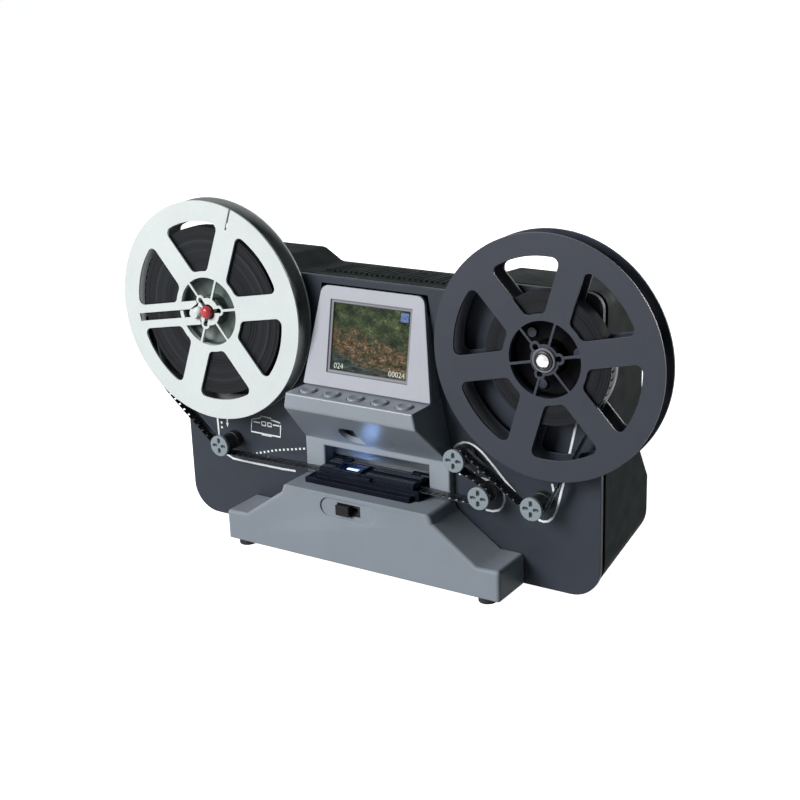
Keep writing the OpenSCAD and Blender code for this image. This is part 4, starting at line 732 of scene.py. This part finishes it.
class SCANNER_OT_screen(ScannerOperator):
    """Bezel, window, display and its picture"""
    bl_idname = "scanner.screen"
    bl_label = "Screen"

    def make(self, sizes):
        lean = math.radians(11)
        out = Vector((0, -math.cos(lean), math.sin(lean)))
        up = Vector((0, math.sin(lean), math.cos(lean)))
        window = [v.x for v in points_of("screen_window")]
        margin, step_low, step_high = 0.0006, 0.105, 0.152
        left, right = min(window) - margin, max(window) + margin
        face = max(v.dot(out) for v in points_of("screen_bezel"))

        def on_step(c, n):
            sunk = c.dot(out) < face - 0.0002 and n.dot(out) > -0.5
            return sunk and left < c.x < right and step_low < c.z < step_high

        dress("screen_bezel", sizes.edge * 1.2, 3, spots=[("step_grey", on_step)])
        dress("screen_window", 0)
        dress("lcd_module", 0)
        verts = points_of("lcd_module")
        low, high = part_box("lcd_module")
        front = max(v.dot(out) for v in verts)
        heights = [v.dot(up) for v in verts]
        middle = (min(heights) + max(heights)) / 2
        half_w, half_h = (high.x - low.x) / 2, (max(heights) - min(heights)) / 2
        x = (low.x + high.x) / 2
        near, nearer, digit_size = 0.00005, 0.00009, 0.0042

        def at(s, t, lift):
            return Vector((x + s * half_w, 0, 0)) + up * (middle + t * half_h) + out * (front + lift)

        picture = sheet_over([[at(s, -0.86, near), at(s, 0.86, near)] for s in (-0.9, 0.9)])
        piece("display_picture", picture, "chassis", "display", finish("picture"))
        mark = sheet_over([[at(s, 0.56, nearer), at(s, 0.78, nearer)] for s in (0.62, 0.8)])
        piece("display_mark", mark, "chassis", "display", finish("mark"))
        counters = (("frame_counter", "00024", "RIGHT", 0.8), ("film_counter", "024", "LEFT", -0.84))
        for name, body, side, place in counters:
            digits = lettering(body, digit_size, side)
            corner = at(place, -0.8, nearer)
            for vert in digits.verts:
                vert.co = corner + Vector((vert.co.x, 0, 0)) + up * vert.co.y
            piece(name, digits, "chassis", "display", finish("digits"))


class SCANNER_OT_buttons(ScannerOperator):
    """Five dished push buttons and their board"""
    bl_idname = "scanner.buttons"
    bl_label = "Buttons"

    def make(self, sizes):
        dish, collar = sizes.button_dish, 0.0012
        for i in range(1, 6):
            name = f"button_{i}"
            low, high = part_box(name)
            wide = (high.x - low.x) / 2
            r = wide - collar
            top, step = high.z, low.z + collar
            profile = [(0, top - dish), (r * 0.4, top - dish * 0.86), (r * 0.62, top - dish * 0.4),
                       (r * 0.72, top - dish * 0.06), (r * 0.78, top), (r * 0.86, top - 0.0001),
                       (r * 0.93, top - 0.00035), (r * 0.98, top - 0.00075), (r, top - 0.0012), (r, step),
                       (wide, step), (wide, low.z), (0, low.z)]
            bm = turned_shape(profile, ((low.x + high.x) / 2, (low.y + high.y) / 2, 0), (0, 0, 1), 48)
            piece(name + "_form", bm, BODY_OF[name], "button_grey", replaces=(name,), smooth=40)
        dress("button_board", 0)


class SCANNER_OT_switch(ScannerOperator):
    """Format switch and its sliding knob"""
    bl_idname = "scanner.switch"
    bl_label = "Format switch"

    def make(self, sizes):
        dress("switch_body", 0)
        dress("switch_slider", sizes.fine_edge)


class SCANNER_OT_gate(ScannerOperator):
    """Film gate, its light and the camera over it"""
    bl_idname = "scanner.gate"
    bl_label = "Film gate"

    def make(self, sizes):
        for name in ("gate_base", "gate_cover"):
            dress(name, sizes.fine_edge)
        dress("gate_pin", 0, key="inner_black")
        for name in ("light_diffuser", "led_board", "film_claw", "claw_drive", "camera_module"):
            dress(name, 0)
        dress("camera_lens", sizes.fine_edge)
        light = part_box("light_diffuser")
        x, y = (light[0].x + light[1].x) / 2, (light[0].y + light[1].y) / 2
        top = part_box("gate_cover")[1].z - 0.0006
        self.bars(x, top)
        self.window(x, y, top)

    def on_cover(self, name, key, corners, width=0):
        blocks(name, BODY_OF["gate_cover"], "gate_black", corners, key, width)

    def bars(self, x, top):
        """Bars along the cover on both sides of its window."""
        low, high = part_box("gate_cover")
        inset, to_left, to_right, foot = 0.0006, 0.0093, 0.0118, top - 0.0002
        corners = []
        for ahead, wide in ((0.0026, 0.0011), (0.0046, 0.0011), (0.0104, 0.0013), (0.0125, 0.0007)):
            front = PANEL_Y - ahead - wide
            for left, right in ((low.x + inset, x - to_left), (x + to_right, high.x - inset)):
                corners.append(((left, front, foot), (right, front + wide, high.z)))
        # Painted highlight: the bars get a colour lighter than the gate's black.
        self.on_cover("cover_bars", "gate_bar", corners, 0.00015)

    def window(self, x, y, top):
        """The window's rim, the lit film frame under it, glowing plates on it that are painted highlights, and
        a glowing strip behind it that is painted light.
        """
        half, deep, wall, foot = 0.0072, 0.0044, 0.0013, top - 0.0002
        left, right, behind = x - half - wall, x + half + wall, y + deep + wall
        front_rise, back_rise, side_rise = 0.0005, 0.0009, 0.0007
        rim = [((left, y - deep - wall, foot), (right, y - deep, top + front_rise)),
               ((left, y + deep, foot), (right, behind, top + back_rise))]
        for edge in (left, right - wall):
            rim.append(((edge, y - deep, foot), (edge + wall, y + deep, top + side_rise)))
        self.on_cover("window_rim", "gate_frame", rim, 0.00015)
        half_w, half_d, bed, thick, low = 0.0045, 0.0032, 0.0498, 0.0001, top - 0.0006
        plate = ((x - half_w, y - half_d, bed), (x + half_w, y + half_d, bed + thick))
        blocks("lit_frame", "chassis", "film_dark", [plate], "lit_frame")
        # Painted highlights: two glowing plates in the window stand for the gleams on it.
        gleams = [((x - 0.003, y - 0.0012, low), (x + 0.0042, y + 0.0008, foot)),
                  ((x - 0.0062, y - 0.0043, low), (x - 0.0018, y - 0.0035, foot))]
        self.on_cover("gate_gleam", "gleam", gleams)
        # Painted light: a thin glowing strip behind the rim, no part of the scanner and no lamp.
        half_glow = 0.006
        glow = ((x - half_glow, behind, top), (x + half_glow, behind + thick, top + side_rise))
        self.on_cover("rim_glow", "rim_glow", [glow])


class SCANNER_OT_reels(ScannerOperator):
    """Both reels"""
    bl_idname = "scanner.reels"
    bl_label = "Reels"

    def make(self, sizes):
        for side in ("supply", "take_up"):
            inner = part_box(f"{side}_film_pack")[1].y
            # Painted shade: the rear flange's front face behind the film pack gets a darker copy of the reel's
            # white, for the shade under the front flange.
            shaded = [("rim_painted_shade", lambda c, n: n.y < -0.9 and c.y > inner)] if side == "supply" else ()
            dress(f"{side}_reel_front", sizes.fine_edge, 3)
            dress(f"{side}_reel_rear", sizes.fine_edge, 2, spots=shaded)


class SCANNER_OT_spindles(ScannerOperator):
    """Spindles, their tips and bushes, and dark cups in the reels' hubs that are painted shade"""
    bl_idname = "scanner.spindles"
    bl_label = "Spindles"

    def make(self, sizes):
        for name in ("supply_spindle", "take_up_spindle", "supply_spindle_tip", "take_up_spindle_tip"):
            dress(name, sizes.fine_edge)
        dress("spindle_bushes", sizes.fine_edge)
        x, z = axis_of("supply_reel_rear")
        # Painted shade: a dark cup inside the supply reel's hub hides the rear hub and stands for the shade
        # deep in it.
        self.turn("supply_hub_cup_painted_shade", "supply_reel_rear", "supply_hub_painted_shade", (x, z), [
            (19.6, -12.6), (19.6, -9.6), (18, -8.2), (12, -7.6), (9.4, -8.2), (8.7, -10), (8.7, -13.4),
            (8.1, -13.4), (8.1, -7), (12, -6.8), (18.4, -7.4), (19.2, -8.6), (19.2, -12.6), (19.6, -12.6)])
        self.turn("reel_catch", "supply_reel_rear", "reel_white", (x - 6.3 * MM, z), [
            (0, -18.2), (1.2, -18), (2.2, -17.3), (2.7, -16.2), (2.7, -15), (2.4, -14.2), (0, -14.2)], 32)
        place = axis_of("take_up_reel_rear")
        # Painted shade: a near-black cup inside the take-up reel's hub stands for the shade deep in it.
        self.turn("take_up_hub_cup_painted_shade", "take_up_reel_rear", "hub_black", place, [
            (19.6, -12.6), (19.6, -8.6), (18, -7), (12, -6.4), (9.4, -7), (8.7, -9), (8.7, -13.4),
            (8.1, -13.4), (8.1, -6), (12, -5.8), (18.4, -6.3), (19.2, -7.6), (19.2, -12.6), (19.6, -12.6)])
        self.turn("take_up_collar", "take_up_spindle", "spindle_black", place, [
            (3.75, -15.1), (3.75, -17), (4.2, -17.4), (5, -17), (5.2, -16.4), (5.2, -15.1), (3.75, -15.1)])
        self.turn("take_up_collar_edge", "take_up_spindle", "collar_grey", place, [
            (5.3, -15.1), (5.3, -16.2), (5.9, -16.3), (6.3, -15.9), (6.3, -15.1), (5.3, -15.1)])
        dress("supply_brake_disc", sizes.fine_edge)

    def turn(self, name, rides_with, key, place, profile, steps=64):
        """A turned piece on a reel's axis; profile points are (radius, height) in millimetres."""
        x, z = place
        bm = turned_shape([(r * MM, h * MM) for r, h in profile], (x, PANEL_Y, z), (0, 1, 0), steps)
        piece(name, bm, BODY_OF[rides_with], SLOT_OF[rides_with], finish(key), smooth=40)


class SCANNER_OT_film(ScannerOperator):
    """Perforated film and the wound packs"""
    bl_idname = "scanner.film"
    bl_label = "Film"

    def make(self, sizes):
        route = film_route()
        low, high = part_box("film_strip")
        hole_from, hole_to, middle_row = 0.05, 0.26, 0.6
        rows = [low.y + (high.y - low.y) * share for share in (0, hole_from, hole_to, middle_row)] + [high.y]
        columns = [[Vector((p.x, y, p.y)) for y in rows] for p in route]
        bm = sheet_over(columns, (len(route) - 1) / 4)
        layer = bm.loops.layers.uv.active

        def is_hole(face):
            quarter = int(min(loop[layer].uv.x for loop in face.loops) * 4 + 0.5) % 4
            return rows[1] < face.calc_center_median().y < rows[2] and quarter == 1

        holes = [face for face in bm.faces if is_hole(face)]
        # Painted light: near the rollers on the right, white patches fill the perforations where the holes
        # look bright.
        painted_hole_light = bmesh.new()
        bright_x, bright_z, shrink = 0.045, 0.08, 0.06
        for face in holes:
            middle = face.calc_center_median()
            if middle.x > bright_x and middle.z < bright_z:
                painted_hole_light.faces.new([painted_hole_light.verts.new(v.co.lerp(middle, shrink)) for v in face.verts])
        piece("film_perforation_painted_light", painted_hole_light, "chassis", "film_dark", finish("print_white"))
        bmesh.ops.delete(bm, geom=holes, context="FACES")
        made = piece("film_strip_form", bm, "chassis", "film_dark", replaces=("film_strip",), smooth=60)
        wall = made.modifiers.new("Thickness", "SOLIDIFY")
        wall.thickness = sizes.film_thickness
        wall.offset = 0
        for side in ("supply", "take_up"):
            self.wind(side, sizes)

    def proud(self, turn):
        """How far a turn's edge stands out of the pack."""
        least, spread, loose, loose_from = 0.00002, 0.00007, 0.00016, 0.87
        chance = (math.sin(turn * 12.9898) * 43758.5453) % 1
        return least + spread * chance + (loose if chance > loose_from else 0)

    def wind(self, side, sizes):
        """A pack as one wound band, its edge uneven from turn to turn."""
        name = f"{side}_film_pack"
        low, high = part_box(name)
        x, z = axis_of(f"{side}_reel_rear")
        inner, outer, steps, wall_share, rear_gap = 0.0225, max(high.x - x, x - low.x), 60, 0.965, 0.0001
        turns = round((outer - inner) / sizes.turn_pitch)
        pitch = (outer - inner) / turns
        wall, rear = pitch * wall_share, high.y - rear_gap
        columns = []
        for i in range(turns * steps + 1):
            angle = math.tau * i / steps
            r = inner + (pitch * (i / steps)) * (outer - inner - wall) / (outer - inner)
            part = i % steps / steps
            part = part * part * (3 - 2 * part)
            front = low.y - self.proud(i // steps) * (1 - part) - self.proud(i // steps + 1) * part
            around = Vector((math.cos(angle), 0, math.sin(angle)))
            axis = Vector((x, 0, z))
            ring = [(r, front), (r + wall, front), (r + wall, rear), (r, rear), (r, front)]
            columns.append([axis + around * a + Vector((0, y, 0)) for a, y in ring])
        bm = sheet_over(columns)
        bmesh.ops.remove_doubles(bm, verts=bm.verts, dist=1e-7)
        bmesh.ops.holes_fill(bm, edges=bm.edges, sides=4)
        bmesh.ops.recalc_face_normals(bm, faces=bm.faces)
        # Painted shade: faces not turned to the front or back, the pack's sides, get a darker copy of the film
        # colour.
        for face in bm.faces:
            face.material_index = int(abs(face.normal.y) < 0.5)
        piece(f"{side}_turns", bm, BODY_OF[name], "film_dark", finish(f"{side}_turns"), finish("film_side_painted_shade"),
              replaces=(name,), smooth=40)


class SCANNER_OT_rollers(ScannerOperator):
    """Guide rollers, caps and posts"""
    bl_idname = "scanner.rollers"
    bl_label = "Rollers"

    def make(self, sizes):
        for name in ROLLERS:
            dress(f"{name}_roller", sizes.fine_edge)
            # Painted shade: front faces sunk into a cap, the bottoms of its holes, get the rollers' black.
            sunk_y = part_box(f"{name}_roller_cap")[0].y + 0.0004
            dress(f"{name}_roller_cap", sizes.edge, 3,
                  spots=[("roller_black", lambda c, n, y=sunk_y: n.y < -0.9 and c.y > y)])
        dress("roller_posts", sizes.fine_edge)


class SCANNER_OT_drive(ScannerOperator):
    """Take-up motor, pulleys and belt"""
    bl_idname = "scanner.drive"
    bl_label = "Drive"

    def make(self, sizes):
        for name in ("take_up_motor", "motor_bracket", "motor_pulley", "take_up_pulley", "drive_belt"):
            dress(name, sizes.fine_edge)


class SCANNER_OT_sockets(ScannerOperator):
    """Main board and the sockets in the back"""
    bl_idname = "scanner.sockets"
    bl_label = "Sockets"

    def make(self, sizes):
        dress("main_board", 0)
        for name in ("power_socket", "card_socket", "data_socket"):
            dress(name, sizes.fine_edge)


class SCANNER_OT_rear(ScannerOperator):
    """Louvres, bare label plate, socket frame and dark screw crosses painted as shade on the back"""
    bl_idname = "scanner.rear"
    bl_label = "Back details"

    def make(self, sizes):
        low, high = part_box("rear_housing")
        x, bulge_y = (low.x + high.x) / 2, high.y
        sockets = [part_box(n) for n in ("power_socket", "card_socket", "data_socket")]
        back_y = max(b[1].y for b in sockets)
        self.louvres(x, back_y)
        half, foot, head, sunk, proud = 0.035, 0.024, 0.049, 0.0004, 0.0003
        plate = ((x - half, bulge_y - sunk, foot), (x + half, bulge_y + proud, head))
        self.on_back("label_plate", [plate], "plate_grey", 0.0002)
        self.socket_frame(sockets, back_y)
        self.screw_cross_painted_shade(x)

    def on_back(self, name, corners, key=None, width=0):
        blocks(name, "chassis", "housing_black", corners, key, width)

    def louvres(self, x, back_y):
        half, apart, top, pitch, thick, sunk, proud = 0.028, 0.066, 0.142, 0.0042, 0.0018, 0.0006, 0.0009
        corners = []
        for middle in (x - apart, x + apart):
            for z in (top - i * pitch for i in range(9)):
                corners.append(((middle - half, back_y - sunk, z), (middle + half, back_y + proud, z + thick)))
        self.on_back("back_louvres", corners, width=0.0004)

    def socket_frame(self, sockets, back_y):
        """A raised line round the sockets."""
        room, wide = 0.005, 0.0012
        near, far = back_y - 0.0004, back_y + 0.0006
        left, right = min(b[0].x for b in sockets) - room, max(b[1].x for b in sockets) + room
        foot, head = min(b[0].z for b in sockets) - room, max(b[1].z for b in sockets) + room
        corners = [((left, near, z), (right, far, z + wide)) for z in (foot, head - wide)]
        corners += [((x, near, foot + wide), (x + wide, far, head - wide)) for x in (left, right - wide)]
        self.on_back("socket_frame", corners, width=0.0002)

    def screw_cross_painted_shade(self, x):
        """A dark cross on each housing screw's own head: painted shade standing for the cross recess."""
        verts = points_of("housing_screws")
        mid = (min(v.z for v in verts) + max(v.z for v in verts)) / 2
        long, thin, sunk, proud = 0.0017, 0.0003, 0.0002, 0.00006
        corners = []
        for side, end in ((-1, -1), (-1, 1), (1, -1), (1, 1)):
            screw = [v for v in verts if (v.x - x) * side > 0 and (v.z - mid) * end > 0]
            cx, cz = ((min(v[k] for v in screw) + max(v[k] for v in screw)) / 2 for k in (0, 2))
            head = max(v.y for v in screw)
            for a, b in ((long, thin), (thin, long)):
                corners.append(((cx - a, head - sunk, cz - b), (cx + a, head + proud, cz + b)))
        # Painted shade: flat black crosses stand for the screws' cross recesses.
        self.on_back("screw_cross_painted_shade", corners, "roller_black")


class SCANNER_OT_print(ScannerOperator):
    """Guide lines of the film path on the panel"""
    bl_idname = "scanner.print"
    bl_label = "Panel print"

    def make(self, sizes):
        w, thin, lift = sizes.print_width, sizes.print_width * 0.7, sizes.print_height
        dash_pitch, dash_share = 3.0, 0.45
        solid = [
            [(44.6, 72.9), (47.2, 75.6), (50.8, 77.2), (54.3, 77.3), (58, 76.2), (61.4, 74), (64, 71.8),
             (69.6, 66.3), (76, 59.7), (79.4, 56.6), (86, 50.2)],
            [(60.6, 58.8), (63.8, 58.6), (67.4, 58), (70.8, 56.9), (73.6, 54.8), (75.2, 51.9), (75.4, 48.5),
             (74, 44.7), (71.6, 42.3), (68.2, 41.1), (63.8, 41.1)],
            [(95.4, 41.6), (98.4, 41.1), (101.2, 41.9), (104.2, 44.7), (106, 48.8), (107.2, 53.6),
             (108.6, 59.6), (109.8, 64), (113, 80.3), (117.2, 99.2)],
            [(103.4, 63.3), (104.6, 58)],
            [(-118.8, 66), (-118.4, 53), (-117, 46.5), (-113.2, 42), (-108.8, 40.3), (-100.6, 40),
             (-72.4, 40.1), (-62.6, 40.5)],
        ]
        dotted = [
            [(47.6, 58.8), (50.2, 59.1), (53, 59.8), (57.8, 60.8), (60.6, 62.7), (63.2, 65.4), (65.8, 68.1)],
            [(-96.8, 44.8), (-75.6, 51.2), (-53.8, 55.9)],
            [(-115.8, 62.5), (-115.8, 55)],
        ]
        gate_sketch = [
            [(-92.6, 67.5), (-93.6, 59.9), (-72.2, 59.8), (-71.6, 67.2)],
            [(-92.6, 67.5), (-86, 69.5), (-85.6, 70.6), (-78.4, 70.4), (-78.2, 69.4), (-71.8, 68.5)],
            [(-91.4, 66.3), (-86.6, 66.3)], [(-77.2, 66.5), (-72.4, 66.5)],
            [(-85.4, 65.1), (-85.4, 67.3), (-82.4, 67.3), (-82.4, 65.1), (-85.4, 65.1)],
            [(-81, 65.1), (-81, 67.2), (-78.4, 67.2), (-78.4, 65.1), (-81, 65.1)],
            [(-86, 59.2), (-78.6, 59.2)],
        ]
        bm = bmesh.new()
        for line in solid:
            join(bm, panel_line(line, w, lift))
        for line in gate_sketch:
            join(bm, panel_line(line, thin, lift))
        for line in dotted:
            for dash in dashes(line, dash_pitch, dash_share):
                join(bm, panel_line(dash, w, lift))
        arrow = [(-112.4, 62.4), (-110.4, 62.4), (-111.5, 59.4)]
        join(bm, panel_line([(-111.2, 65), (-111.4, 62)], thin, lift))
        bm.faces.new([bm.verts.new((x * MM, PANEL_Y - lift, z * MM)) for x, z in arrow])
        piece("film_guide_print", bm, "chassis", "panel_black", finish("print_white"))


class SCANNER_OT_stage(ScannerOperator):
    """Floor, light and camera"""
    bl_idname = "scanner.stage"
    bl_label = "Stage"

    def make(self, sizes):
        scene = bpy.context.scene
        stage = scene.scanner_stage
        scene.view_settings.view_transform = "Standard"
        self.floor(stage)
        self.world(scene, stage)
        self.lamp("Key", stage.key, place=(-1.13, -2.19, 1.2), target=(0.0, -0.03, 0.1), size=1.2)
        self.lamp("Back", stage.back, place=(0.35, 1.5, 0.2), target=(0.0, 0.03, 0.1), size=0.6)
        self.camera(scene, stage)

    def floor(self, stage):
        bm = bmesh.new()
        bmesh.ops.create_grid(bm, x_segments=1, y_segments=1, size=8)
        mesh = mesh_from("floor", bm)
        made = bpy.data.materials.new("Floor")
        made.use_nodes = True
        tree = made.node_tree
        tree.nodes.remove(tree.nodes["Principled BSDF"])
        plain = node(tree, "BsdfDiffuse", {"Color": (*stage.floor, 1)})
        faint = node(tree, "BsdfDiffuse", {"Color": (0.9, 0.9, 0.9, 1)})
        white = node(tree, "Emission", {"Color": (1, 1, 1, 1), "Strength": 0.95})
        both = node(tree, "AddShader", {0: faint.outputs[0], 1: white.outputs[0]})
        mixed = node(tree, "MixShader", {0: self.seen(tree), 1: plain.outputs[0], 2: both.outputs[0]})
        tree.links.new(mixed.outputs[0], tree.nodes["Material Output"].inputs["Surface"])
        mesh.materials.append(made)
        put("floor", mesh)

    def seen(self, tree):
        """1 for rays that see the stage, 0 for those that only carry its light."""
        rays = node(tree, "LightPath").outputs
        first = calc(tree, "MAXIMUM", rays["Is Camera Ray"], rays["Is Glossy Ray"])
        return calc(tree, "MAXIMUM", first, rays["Is Transmission Ray"])

    def world(self, scene, stage):
        world = bpy.data.worlds.new("Studio")
        scene.world = world
        world.use_nodes = True
        tree = world.node_tree
        fill = tree.nodes["Background"]
        fill.inputs["Color"].default_value = (0.78, 1, 1, 1)
        fill.inputs["Strength"].default_value = stage.fill
        white = node(tree, "Background", {"Color": (1, 1, 1, 1), "Strength": 1.0})
        mixed = node(tree, "MixShader", {0: self.seen(tree), 1: fill.outputs[0], 2: white.outputs[0]})
        tree.links.new(mixed.outputs[0], tree.nodes["World Output"].inputs["Surface"])

    def lamp(self, name, power, place, target, size):
        light = bpy.data.lights.new(name, "AREA")
        light.energy = power
        light.shape = "SQUARE"
        light.size = size
        made = put(name, light)
        made.location = place
        made.rotation_euler = (Vector(target) - Vector(place)).to_track_quat("-Z", "Y").to_euler()

    def camera(self, scene, stage):
        yaw, pitch, roll = (math.radians(a) for a in (33.105, 18.308, 1.907))
        level = math.cos(pitch)
        ahead = Vector((-math.sin(yaw) * level, math.cos(yaw) * level, -math.sin(pitch)))
        right = Vector((math.cos(yaw), math.sin(yaw), 0))
        down = ahead.cross(right)
        across = right * math.cos(roll) + down * math.sin(roll)
        under = down * math.cos(roll) - right * math.sin(roll)
        lens = bpy.data.cameras.new("Photo camera")
        lens.sensor_width = 36
        lens.lens = stage.lens
        lens.shift_x, lens.shift_y = -0.00424, 0.00363
        turn = Matrix((across, -under, -ahead)).transposed().to_4x4()
        place = (0.42069, -0.63917, 0.3403)
        scene.camera = put("Photo camera", lens)
        scene.camera.matrix_world = Matrix.Translation(place) @ turn


STEPS = (SCANNER_OT_stage, SCANNER_OT_case, SCANNER_OT_console, SCANNER_OT_screen, SCANNER_OT_buttons,
         SCANNER_OT_switch, SCANNER_OT_gate, SCANNER_OT_reels, SCANNER_OT_spindles, SCANNER_OT_film,
         SCANNER_OT_rollers, SCANNER_OT_drive, SCANNER_OT_sockets, SCANNER_OT_rear, SCANNER_OT_print)


class SCANNER_PT_panel(bpy.types.Panel):
    """Sizes, colours and steps of the scanner"""
    bl_idname = "SCANNER_PT_panel"
    bl_label = "Film Scanner"
    bl_space_type = "VIEW_3D"
    bl_region_type = "UI"
    bl_category = "Scanner"

    def draw(self, context):
        for group in (context.scene.scanner_sizes, context.scene.scanner_colours, context.scene.scanner_stage):
            frame_of_group = self.layout.box()
            for name in group.__annotations__:
                frame_of_group.prop(group, name)
        for step in STEPS:
            self.layout.operator(step.bl_idname)


CLASSES = (ScannerColours, ScannerSizes, ScannerStage, *STEPS, SCANNER_PT_panel)


def register():
    for cls in CLASSES:
        bpy.utils.register_class(cls)
    bpy.types.Scene.scanner_colours = PointerProperty(type=ScannerColours)
    bpy.types.Scene.scanner_sizes = PointerProperty(type=ScannerSizes)
    bpy.types.Scene.scanner_stage = PointerProperty(type=ScannerStage)


def unregister():
    for name in ("scanner_colours", "scanner_sizes", "scanner_stage"):
        delattr(bpy.types.Scene, name)
    for cls in reversed(CLASSES):
        bpy.utils.unregister_class(cls)


def main():
    register()
    for step in STEPS:
        group, name = step.bl_idname.split(".")
        getattr(getattr(bpy.ops, group), name)()


if __name__ == "__main__":
    main()
